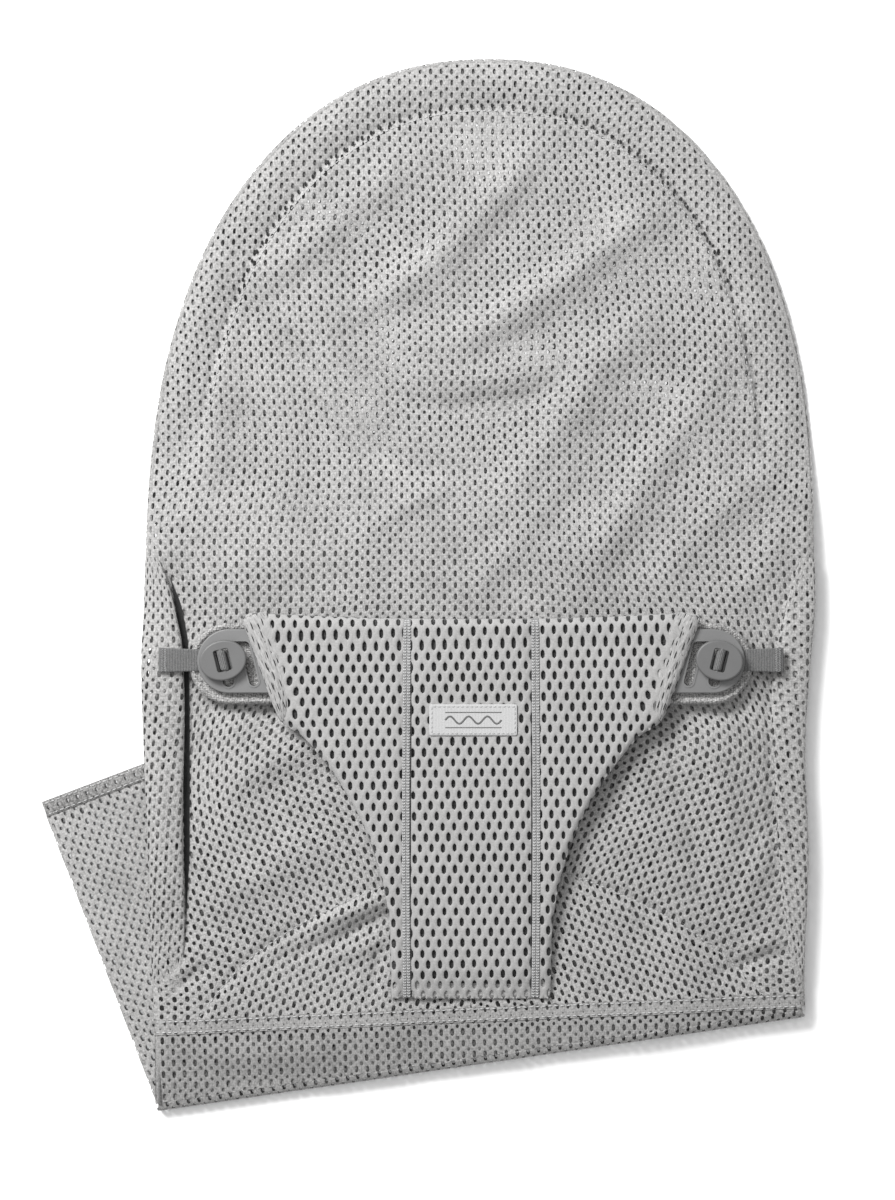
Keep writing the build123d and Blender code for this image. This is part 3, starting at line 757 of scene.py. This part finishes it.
for name, node, outline, knitting, finish, turn, middle, shift, lift in (
        ("seat_front", "seat_front_panel", front_outline, SEAT_KNIT, MESH, 0.0, (0, 280), drift, 0.0),
        ("left_gusset", "left_leg_gusset", Outline([*left_seam, harness_foot]), SEAT_KNIT, MESH, -0.27,
         (-90, 20), None, 0.25),
        ("right_gusset", "right_leg_gusset", Outline([*right_seam, harness_foot]), SEAT_KNIT, MESH, 0.36,
         (90, 20), None, 0.25),
        ("lower_front", "lower_front_panel", lower_outline, SEAT_KNIT, LOWER_MESH_WITH_PAINTED_SHADE, 0.03, (0, -40), None, 0.0),
        ("seat_hem", "seat_hem_band", band_outline, HEM_KNIT, HEM, tilt, (0, -6), None, 0.55),
        ("arch_facing_band", "arch_facing", facing_outline, SEAT_KNIT, REAR_MESH_WITH_PAINTED_SHADE, 0.1, (3, 281), None, 0.0)):
    bm = knitting.cloth(outline, turn, middle, drift=shift)
    if name == "arch_facing_band":
        lay_cloth(bm, outline, lambda plan: np.c_[plan, np.maximum(front(plan) - 1.7, rear(plan) + 0.5)])
    else:
        lay_cloth(bm, outline, on(front, lift), ragged=0.7 if name == "seat_front" else 0.0)
    facing = name == "arch_facing_band"
    slot = "mesh" if knitting is SEAT_KNIT and not facing else "seam_cloth"
    piece = link(name, bm, finish, "seat", node)
    sheet(outline)

# The rear layer's darker finish is painted shade, seen through the front's holes
bm = SEAT_KNIT.cloth(SLEEVE, 0.03, (2.2, 283))
lay_cloth(bm, SLEEVE, on(rear), ragged=0.5)
bmesh.ops.reverse_faces(bm, faces=bm.faces)
seat_back = link("seat_back", bm, REAR_MESH_WITH_PAINTED_SHADE, "seat", "seat_back_panel")
sheet(SLEEVE)

edge = np.vstack([[196.6, -4], *(right_side[1:-1] - (1.4, 0)), *arch(1.4), *(left_side[1:] + (1.4, 0)),
                  FOLD_LEFT + (1.6, 5)])
edge = np.c_[edge, seam_height(edge[:, 0], edge[:, 1])]
link("seat_edge_seam", ribbon(edge, 1.2, 1.0), HEM, "seat", "edge_seam")

# Two rows of stitching on the hem band, and one row along each gusset's seam and inside the arch
band_x = np.linspace(-197.5, 197, 90)
bm = bmesh.new()
for drop in (0.6, BAND_WIDTH - 0.9):
    row = np.c_[band_x, band_y(band_x, drop)]
    merge(bm, stitches(np.c_[row, front(row) + 0.75], 2.7, 1.1, 0.4, 0.0))
link("seat_hem_stitching", bm, PALE_THREAD, "seat", None)
bm = bmesh.new()
for seam, lift in ((left_seam, 0.1), (right_seam, 0.1), (arch(31.4, 110)[8:-8], 0.2)):
    merge(bm, stitches(np.c_[seam, front(seam)], 2.3, 1.3, 0.36, lift))
link("seam_stitching", bm, PALE_THREAD, "seat", None)

# The holes left by the needle in the arch's seam gape over the crown; dark beads stand for them as painted
# shade inside the holes
arch_line = arch(28.2, 420)
arch_run = np.r_[0, np.cumsum(np.linalg.norm(np.diff(arch_line, axis=0), axis=1))]
places = []
for at in np.arange(arch_run[-1] * 0.22, arch_run[-1] * 0.80, 6.4):
    x, y = (float(np.interp(at, arch_run, arch_line[:, k])) for k in (0, 1))
    z = float(front(np.array([[x, y]]))[0])
    places.append(Matrix.Translation((x, y, z + 2.1)) @ Matrix.Diagonal((0.95, 1.6, 0.5, 1)))
link("arch_needle_hole_shade", beads(places), SHADE_PAINT, "seat", None)

# The fold: a roll of cloth between the seat's front layer and the tail's
roll_length = float(np.linalg.norm(fold_right_end - fold_left_end))
TOP_Z, FLOOR_Z = 10.0, 0.7
roll_arc = math.pi * math.sqrt((ROLL_RADIUS**2 + ((TOP_Z - FLOOR_Z) / 2) ** 2) / 2)
roll_flat = Outline([(0, 0), (roll_length, 0), (roll_length, roll_arc), (0, roll_arc)])


def around_fold(plan):
    turn = plan[:, 1] / roll_arc * math.pi
    line = fold_left_end + FOLD_ALONG * plan[:, :1]
    spot = line - FOLD_INWARD * (np.sin(turn) * ROLL_RADIUS)[:, None]
    start = front(line)
    return np.c_[spot, (start + FLOOR_Z) / 2 + (start - FLOOR_Z) / 2 * np.cos(turn)]


bm = SEAT_KNIT.cloth(roll_flat, lip=0.0)
lay_cloth(bm, roll_flat, around_fold)
bmesh.ops.recalc_face_normals(bm, faces=bm.faces)
if sum(f.normal.z * f.calc_area() for f in bm.faces if f.calc_center_median().z > 9) < 0:
    bmesh.ops.reverse_faces(bm, faces=bm.faces)
blend_x, blend_y = float(fold_left_end[0] + fold_right_end[0]) / 2 * MM, float(fold_left_end[1]) * MM
fold_roll = link("fold_roll", bm, LOWER_MESH_WITH_PAINTED_SHADE, None, None,
                 blend=("seat", "tail", (blend_x, blend_y, TOP_Z * MM), (blend_x, blend_y, FLOOR_Z * MM)))
sheet(roll_flat)

# ---- Side pleats -----------------------------------------------------------------------------

# One pleat's section: share of its width from the outer edge, and height
PLEAT_SECTION = path([(0.0, 11.6), (-0.02, 14.2), (0.13, 17.2), (0.42, 19.0), (0.82, 18.7), (1.02, 16.4),
                      (0.98, 11.8)], 8)
PLEAT_WIDTH = {-1: 22, 1: 15}
PLEAT_LOW, PLEAT_HIGH = 2.0, 270.0
for hand, side in (("left", -1), ("right", 1)):
    run = np.r_[0, np.cumsum(np.linalg.norm(np.diff(PLEAT_SECTION * (PLEAT_WIDTH[side], 1), axis=0), axis=1))]
    flat = Outline([(0, PLEAT_LOW), (run[-1], PLEAT_LOW), (run[-1], PLEAT_HIGH), (0, PLEAT_HIGH)])
    side_line = left_side if side < 0 else right_side
    side_line = side_line[side_line[:, 1].argsort()]

    def roll_over(plan, side=side, side_line=side_line, run=run):
        s, y = plan[:, 0], plan[:, 1]
        share, z = np.interp(s, run, PLEAT_SECTION[:, 0]), np.interp(s, run, PLEAT_SECTION[:, 1])
        outer = np.interp(y, side_line[:, 1], side_line[:, 0]) + side * 0.4
        inner = pleat_inner(side, y) - side * 0.6 * np.sin(y / 23)
        rise = PLEAT_RISE[side] * smooth(-10, 130, y) * (1 - smooth(215, PLEAT_HIGH, y))
        under = np.minimum(front(np.c_[inner + side * 5, y]), 14.0) - 0.9
        high = np.where(z > under, under + (z - 14.0).clip(0) * (0.12 + 0.88 * rise) + 0.9, z)
        high -= 2.0 * (1 - smooth(2, 24, y))
        return np.c_[outer + (inner - outer) * share, y, np.minimum(high, 19.0)]

    bm = SEAT_KNIT.cloth(flat, drift=lambda p: np.c_[p[:, 0] + 0.10 * (p[:, 1] - 120), p[:, 1]])
    lay_cloth(bm, flat, roll_over)
    if side > 0:
        bmesh.ops.reverse_faces(bm, faces=bm.faces)
    pleat = link(f"{hand}_pleat", bm, MESH, "seat", f"{hand}_side_pleat")
    sheet(flat)

# Painted shade: a dark strip laid in the deepest part of the left pleat's fold
painted_shade_y = np.linspace(46, 258, 70)
painted_shade = np.c_[pleat_inner(-1, painted_shade_y) + 1.7, painted_shade_y]
painted_shade_width = 0.15 + 1.9 * smooth(46, 100, painted_shade_y) * (1 - smooth(238, 258, painted_shade_y))
painted_shade_line = np.c_[painted_shade, front(painted_shade) + 0.35]
link("left_pleat_painted_shade", ribbon(painted_shade_line, painted_shade_width, 0.3, 8), SHADE_PAINT, "seat", None)

# ---- Tail ------------------------------------------------------------------------------------

MOUTH_LEFT, MOUTH_RIGHT, TAIL_HEM = np.array([-268.4, 120.2]), np.array([96.4, 258.0]), 9.0
mouth_along = (MOUTH_RIGHT - MOUTH_LEFT) / np.linalg.norm(MOUTH_RIGHT - MOUTH_LEFT)
mouth_in = np.array([mouth_along[1], -mouth_along[0]])
TAIL_EDGES = Outline([fold_left_end - FOLD_INWARD * 300, fold_left_end, MOUTH_LEFT, MOUTH_RIGHT,
                      fold_right_end, fold_right_end - FOLD_INWARD * 300])
tail_outline = Outline([fold_left_end, MOUTH_LEFT + mouth_in * TAIL_HEM, MOUTH_RIGHT + mouth_in * TAIL_HEM,
                        fold_right_end])
hem_outline = Outline([MOUTH_LEFT, MOUTH_LEFT + mouth_in * (TAIL_HEM + 0.5),
                       MOUTH_RIGHT + mouth_in * (TAIL_HEM + 0.5), MOUTH_RIGHT])
tail_turn = math.atan2(mouth_along[1], mouth_along[0])


def tail_height(level, middle_z):
    """One layer of the tail, which closes onto the other at its two sides."""

    def height(where):
        x, y = where[:, 0], where[:, 1]
        depth = TAIL_EDGES.depth(where)
        wave = np.sin(x / 13 + y / 24) * np.sin(y / 17 - x / 40) * smooth(3, 14, depth)
        if level > middle_z:
            wave = np.where(SLEEVE.depth(where) > 6, np.minimum(wave * 0.5, 0), wave * 1.3)
        else:
            wave = np.abs(wave) * 0.5
        inner = np.clip((5 - depth) / 5, 0, 1)
        return level + wave - (level - middle_z) * (1 - np.sqrt(1 - inner**2))

    return height


for name, level, middle_z, finish in (("tail_front", 0.7, 3.6, LOWER_MESH_WITH_PAINTED_SHADE), ("tail_back", 6.7, 3.9, MESH)):
    surface = Field(tail_height(level, middle_z), (-272, -76), (202, 262), 2.5)
    bm = TAIL_KNIT.cloth(tail_outline, 0.49, (-60, 70))
    lay_cloth(bm, tail_outline, on(surface), ragged=0.5)
    hem = HEM_KNIT.cloth(hem_outline, tail_turn, (MOUTH_LEFT + MOUTH_RIGHT) / 2 + mouth_in * TAIL_HEM / 2)
    hem_lift = 0.5 if level > middle_z else -0.3
    lay_cloth(hem, hem_outline, on(surface, hem_lift))
    for half in (bm, hem):
        if name == "tail_front":
            bmesh.ops.reverse_faces(half, faces=half.faces)
    piece = link(name, bm, finish, "tail", name + "_panel")
    sheet(tail_outline)
    piece = link(name + "_mouth_hem", hem, TAIL_HEM_CLOTH, "tail", name + "_hem")
    sheet(hem_outline)
    if name == "tail_back":
        bm = bmesh.new()
        for inward in (1.6, TAIL_HEM - 0.6):
            across = np.linspace(0.004, 0.996, 80)[:, None]
            row = MOUTH_LEFT + (MOUTH_RIGHT - MOUTH_LEFT) * across + mouth_in * inward
            merge(bm, stitches(np.c_[row, surface(row) + 0.6], 2.7, 1.1, 0.4, 0.0))
        link("tail_hem_stitching", bm, PALE_THREAD, "tail", None)

TAIL_SEAM_INSET, TAIL_SEAM_Z, TAIL_SEAM_POINTS = 1.2, 3.75, 40
for hand, low, high, inset in (("left", fold_left_end, MOUTH_LEFT, TAIL_SEAM_INSET),
                               ("right", fold_right_end, MOUTH_RIGHT, -TAIL_SEAM_INSET)):
    line = low + (high - low) * np.linspace(0.01, 0.99, TAIL_SEAM_POINTS)[:, None] + mouth_along * inset
    line = np.c_[line, np.full(TAIL_SEAM_POINTS, TAIL_SEAM_Z)]
    link(f"{hand}_tail_seam", ribbon(line, 1.0, 1.0), HEM, "tail", f"{hand}_tail_edge")

# ---- Harness ---------------------------------------------------------------------------------

SEAM_X, HARNESS_TOP = 39.0, 234.0
HARNESS_FOOT_Z, HARNESS_WING_Z = 15.7, 24.5
WING_LOW, WING_HIGH = np.array([115.5, 171.0]), np.array([137.8, 232.6])
waist = path([(48.5, 1.5), (48.7, 26), (50, 52), (55.5, 80), (65.5, 108), (80, 134), (96, 155),
              (104, 163.5)], 4)
wing = path([(104, 163.5), (111, 167), (116, 172), (121, 183), (128.5, 204), (136, 225), (138.4, 232.4),
             (134, 236.2)], 4)
half_outline = [*waist, *wing[1:], (104, 234.8), (60, 233.0), (20, 232.6)]
harness_points = [*[(HX + x, y) for x, y in half_outline], *[(HX - x, y) for x, y in half_outline[::-1]]]
HARNESS = Outline(harness_points)
wing_way = (WING_HIGH - WING_LOW) / np.linalg.norm(WING_HIGH - WING_LOW)


def harness_base(y):
    """The underside of the harness: it rises from its lower seam to lie on the plates."""
    rise = np.clip((y - 1.5) / 162.5, 0, 1)
    return HARNESS_FOOT_Z + (HARNESS_WING_Z - HARNESS_FOOT_Z) * (1 - (1 - rise) ** 2.1)


def harness_height(where):
    """The padded upper face: it dips at its seams and rolls down at its edges."""
    x, y = where[:, 0], where[:, 1]
    thick = 1.2 + 3.0 * smooth(0, 20, y - 1.5)
    seam = np.abs(np.abs(x - HX) - SEAM_X)
    top = harness_base(y) + thick - 1.6 * np.exp(-((seam / 4.4) ** 2))
    top += 0.8 * np.exp(-(((HARNESS_TOP - y - 7) / 6) ** 2)) + 0.5 * np.sin(x / 31 + 0.6) * np.sin(y / 37)
    top -= 1.0 * np.exp(-(((x - HX) / 30) ** 2)) * smooth(60, 150, y) * (1 - smooth(150, 215, y))
    edge = np.clip((5.5 - HARNESS.depth(where)) / 5.5, 0, 1)
    return top - (thick - 0.6) * (1 - np.sqrt(1 - edge**2))


harness_top = Field(harness_height, (-150, -4), (140, 240), 1.5)


def roll_in(plan):
    """Packs the knit together where it rolls over the wing and top edges."""
    depth, foot = HARNESS.nearest(plan)
    depth = np.maximum(depth, 0)
    upper = smooth(166, 176, plan[:, 1])
    packed = np.where(depth < 17, depth + (17 * (depth / 17) ** 1.4 - depth) * upper, depth)
    away = (plan - foot) / np.maximum(depth, 1e-6)[:, None]
    return np.where((depth > 1e-6)[:, None], foot + away * packed[:, None], plan)


def pad_top(plan):
    return np.c_[plan, harness_top(plan) - 2.6 * smooth(0, 3, HARNESS.depth(plan))]


def pad_bottom(plan, part):
    edge = np.clip((3 - part.depth(plan)) / 3, 0, 1)
    base, top = harness_base(plan[:, 1]), pad_top(plan)[:, 2]
    return np.c_[plan, base + (top - base) * (1 - np.sqrt(1 - edge**2))]


inner = SEAM_X - 0.3
for name, limits in (("left", [(HX - SEAM_X - 0.3, 1)]), ("centre", [(HX - inner, -1), (HX + inner, 1)]),
                     ("right", [(HX + SEAM_X + 0.3, -1)])):
    cut = harness_points
    for limit, side in limits:
        cut = clip(cut, limit, side)
    part = Outline(cut)
    bm = HARNESS_KNIT.cloth(part, 0.02, (HX, 120), lip=0.4)
    lay_cloth(bm, part, on(harness_top), roll_in)
    face = link(f"harness_{name}_face", bm, SPACER, "harness", None)
    sheet(part)
    body = pillow(part, 2.6, pad_top, lambda plan, part=part: pad_bottom(plan, part))
    pad = link(f"harness_{name}_pad", body, [CORE_WITH_PAINTED_SHADE, LINING], "harness",
               f"harness_{name}_panel" if name != "centre" else "harness_centre_panel")

# Seam tapes, each with two chain-stitched braids
tape_y = np.linspace(2.2, HARNESS_TOP - 1.2, 90)
TAPE_HALF = 2.3
for hand, side in (("left", -1), ("right", 1)):
    lean = np.full(90, HX + side * SEAM_X) + side * 0.5 * np.sin(tape_y / 60)
    line = np.c_[lean, tape_y]
    line = np.c_[line, harness_top(line) + 0.55]
    link(f"{hand}_tape", ribbon(line, TAPE_HALF, 0.4, 12, 4), GREY_THREAD, "harness",
         f"{hand}_seam_tape")
    bm = bmesh.new()
    for away in (-1.25, 1.25):
        for slant, over in ((0.62, -0.42), (-0.62, 0.42)):
            merge(bm, stitches(line, 1.5, 0.3, 0.42, 0.5, slant, away + over))
    link(f"{hand}_tape_braid", bm, PALE_THREAD, "harness", None)
    # Painted shade: a thin dark strip beside each tape, where its fold lies in shade
    painted_fold_shade = line + (-side * 2.9, 0, -0.35)
    link(f"{hand}_tape_painted_fold_shade", ribbon(painted_fold_shade, 0.42, 0.3, 6), SHADE_PAINT, "harness", None)

# Wing edges: the mesh turned over along the slanted edge, its holes squeezed to slits
wing_length = float(np.linalg.norm(WING_HIGH - WING_LOW)) + 1.0
ROLL_SECTION = path([(6.5, -4.4), (2.0, -4.6), (-0.5, -2.4), (0.3, -0.6), (3.4, 0.85), (7.5, 0.9),
                     (11.5, 0.35), (14.0, -0.2)], 6)
roll_run = np.r_[0, np.cumsum(np.linalg.norm(np.diff(ROLL_SECTION, axis=0), axis=1))]
for hand, side in (("left", -1), ("right", 1)):
    flat = Outline([(0, 0), (roll_run[-1], 0), (roll_run[-1], wing_length), (0, wing_length)])

    def turn_over(plan, side=side):
        inset, z = (np.interp(plan[:, 0], roll_run, ROLL_SECTION[:, k]) for k in (0, 1))
        inset = np.where(plan[:, 0] > roll_run[-1] * 0.6, inset + 0.8 * np.sin(plan[:, 1] / 7), inset)
        inset *= 0.45 + 0.55 * smooth(0, 34, plan[:, 1])
        at = WING_LOW + wing_way * (plan[:, 1:] - 0.5) + np.c_[-wing_way[1], wing_way[0]] * inset[:, None]
        past_high = np.clip((plan[:, 1] - wing_length + 5) / 5, 0, 1)
        past_low = np.clip((5 - plan[:, 1]) / 5, 0, 1)
        over = past_high**2 + past_low**2
        top = 28.5 + 0.25 * np.sin(plan[:, 1] / 9)
        return np.c_[HX + side * at[:, 0], at[:, 1], top + z - np.where(z > -1, 1.6 * over, 0)]

    bm = ROLL_KNIT.cloth(flat, 0.04, lip=0.4)
    lay_cloth(bm, flat, turn_over)
    if side > 0:
        bmesh.ops.reverse_faces(bm, faces=bm.faces)
    rolled = link(f"{hand}_wing_roll", bm, ROLLED, "harness", f"{hand}_wing_edge")
    sheet(flat)
    # Painted shade: dark beads in the rolled edge's squeezed slits
    lean = -side * math.atan2(wing_way[0], wing_way[1])
    slit_shades = []
    for share, first in ((0.56, 9.0), (0.69, 15.0), (0.82, 9.0)):
        for t in np.arange(first, wing_length - 3, 12.8):
            x, y, z = turn_over(np.array([[roll_run[-1] * share, t]]))[0]
            slit_shades.append(Matrix.Translation((x, y, z + 0.05)) @ Matrix.Rotation(lean, 4, "Z")
                         @ Matrix.Diagonal((0.36, 2.7, 0.22, 1)))
    link(f"{hand}_wing_slit_shades", beads(slit_shades), SHADE_PAINT, "harness", None)

# ---- Wing backings, plates, straps and buttons ------------------------------------------------

PLATE_X, PLATE_Y, BACK_RADIUS, BACK_DROP = 146.5, 207.0, 24.8, 1.6
BACK_LOW, BACK_HIGH = 15.4, 19.3
for hand, side in (("left", -1), ("right", 1)):
    turn = np.linspace(-math.pi / 2, math.pi / 2, 24)
    rim = [(HX + side * (PLATE_X + BACK_RADIUS * math.cos(a)),
            PLATE_Y - BACK_DROP + BACK_RADIUS * math.sin(a)) for a in turn]
    d_outline = Outline([(HX + side * 98, PLATE_Y - BACK_DROP - BACK_RADIUS), *rim,
                         (HX + side * 98, PLATE_Y - BACK_DROP + BACK_RADIUS)])

    def backing(level, far, outline=d_outline):
        def surface(plan):
            edge = np.clip((2.4 - outline.depth(plan)) / 2.4, 0, 1)
            middle = (BACK_LOW + BACK_HIGH) / 2
            rough = 0.16 * np.sin(plan[:, 0] * 2.1) * np.sin(plan[:, 1] * 1.9)
            lip = 2.2 * far * np.exp(-(((outline.depth(plan) - 2.0) / 1.5) ** 2))
            rounded = level + (middle - level) * (1 - np.sqrt(1 - edge**2))
            return np.c_[plan, rounded + rough * (1 - edge) * far + lip]
        return surface

    cushion = pillow(d_outline, 1.3, backing(BACK_HIGH, 1), backing(BACK_LOW, 0))
    pad = link(f"{hand}_backing", cushion, [TERRY, TERRY], "harness", f"{hand}_wing_backing")

    for node, finish in ((f"{hand}_keyhole_plate", PLATE), (f"{hand}_button", BUTTON)):
        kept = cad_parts[node]
        kept.data.materials.clear()
        kept.data.materials.append(finish)

STRAP_REACH, LOOP_RADIUS, BAR_Z, LOOP_TILT = 39.5, 2.05, 28.7, math.radians(14)
for hand, side in (("left", -1), ("right", 1)):
    outer_x, centre_y = HX + side * 189.5, 207.5
    over = [(STRAP_REACH - LOOP_RADIUS * math.cos(a), BAR_Z + LOOP_RADIUS * math.sin(a))
            for a in np.linspace(0, math.pi, 13)]
    run = [(0, 21.3), (10, 21.3), (20, 21.3), (30, 21.3), (35.6, 21.3), (37.2, 22.4), (37.45, 25), *over,
           (41.55, 25), (41.3, 22), (39.6, 20.1), (35, 20.0), (20, 20.0), (8, 20.0), (0, 20.0)]
    run = np.array(run)
    fine = path(run, 4)
    sag = np.where((fine[:, 1] < 21.4) & (fine[:, 0] < 30), 0.25 * np.sin(fine[:, 0] / 5), 0)
    line = np.c_[outer_x - side * fine[:, 0], np.full(len(fine), centre_y), fine[:, 1] + sag.clip(-0.2, 0.3)]
    lean = LOOP_TILT * smooth(30, 37, fine[:, 0]) * side
    across = np.c_[np.sin(lean), np.cos(lean), np.zeros(len(fine))]
    wide = 7.5 - 1.4 * np.clip(fine[:, 0] / 37, 0, 1)
    bm = ribbon(line, wide, 0.5, 16, 5, sides=across)
    link(f"{hand}_webbing", bm, WEBBING, f"{hand}_strap", f"{hand}_strap")

    rows = [Matrix.Translation((outer_x - side * x, centre_y + y, 22.0)) @ Matrix.Rotation(turn, 4, "Z")
            @ Matrix.Diagonal((1.15, 0.33, 0.33, 1))
            for k, y in enumerate(np.arange(-6.4, 6.5, 1.05)) for x, turn in ((2.2, 0.6), (4.1, -0.6))]
    link(f"{hand}_bartack", beads(rows), GREY_THREAD, f"{hand}_strap", f"{hand}_strap_bartack")

# ---- Label -----------------------------------------------------------------------------------

LABEL_X, LABEL_Y, LABEL_HALF, LABEL_CORNER = -4.2, 171.5, (26.6, 9.5), 1.2
corner = [(math.cos(a), math.sin(a)) for a in np.linspace(0, math.pi / 2, 5)]
label_points = []
for sx, sy, order in ((1, 1, 1), (-1, 1, -1), (-1, -1, 1), (1, -1, -1)):
    label_points += [(LABEL_X + sx * (LABEL_HALF[0] - LABEL_CORNER * (1 - c)),
                      LABEL_Y + sy * (LABEL_HALF[1] - LABEL_CORNER * (1 - s))) for c, s in corner[::order]]
label_outline = Outline(label_points)


def label_face(lift):
    def surface(plan):
        pucker = 0.12 * np.sin(plan[:, 0] / 1.7) * smooth(3.5, 0, label_outline.depth(plan))
        return np.c_[plan, harness_top(np.c_[plan[:, 0] * 0.9 + LABEL_X * 0.1, plan[:, 1]]) + lift + pucker]
    return surface


bm = pillow(label_outline, 1.0, label_face(0.75), label_face(0.2))
bmesh.ops.bridge_loops(bm, edges=[e for e in bm.edges if e.is_boundary])
link("label", bm, [LABEL, LABEL], "harness", "woven_label")


def on_label(points, lift=0.95):
    plan = np.array(points, float) + (LABEL_X, LABEL_Y)
    return np.c_[plan, label_face(lift)(plan)[:, 2]]


bm = bmesh.new()
w, h = LABEL_HALF[0] - 1.5, LABEL_HALF[1] - 1.4
for a, b in (((-w, -h), (w, -h)), ((w, -h), (w, h)), ((w, h), (-w, h)), ((-w, h), (-w, -h))):
    line = np.array(a) + (np.array(b) - np.array(a)) * np.linspace(0, 1, 20)[:, None]
    merge(bm, stitches(on_label(line), 1.9, 0.9, 0.26, 0.0))
link("label_stitching", bm, PALE_THREAD, "harness", None)
bm = bmesh.new()
wave = np.c_[np.linspace(-17, 17, 60), 2.2 * np.sin(np.linspace(0, 6 * math.pi, 60))]
merge(bm, ribbon(on_label(wave, 0.85), 0.55, 0.12, 6))
for y in (-4.6, 4.6):
    merge(bm, ribbon(on_label(np.c_[np.linspace(-17, 17, 40), np.full(40, y)], 0.85), 0.3, 0.12, 6))
link("label_motif", bm, PRINT, "harness", None)

# ---- Floor ------------------------------------------------------------------------------------

floor_mesh = bpy.data.meshes.new("floor")
bm = bmesh.new()
bmesh.ops.create_grid(bm, x_segments=1, y_segments=1, size=6)
bm.to_mesh(floor_mesh)
bm.free()
floor = bpy.data.objects.new("floor", floor_mesh)
floor_finish = Finish("pale floor", 0.9)
floor_finish.colour(floor_finish.mix(floor_finish.noise(3.0), linear(0.975), linear(0.985)))
floor_mesh.materials.append(floor_finish.material)
floor.location.z = -0.0004
bpy.context.collection.objects.link(floor)
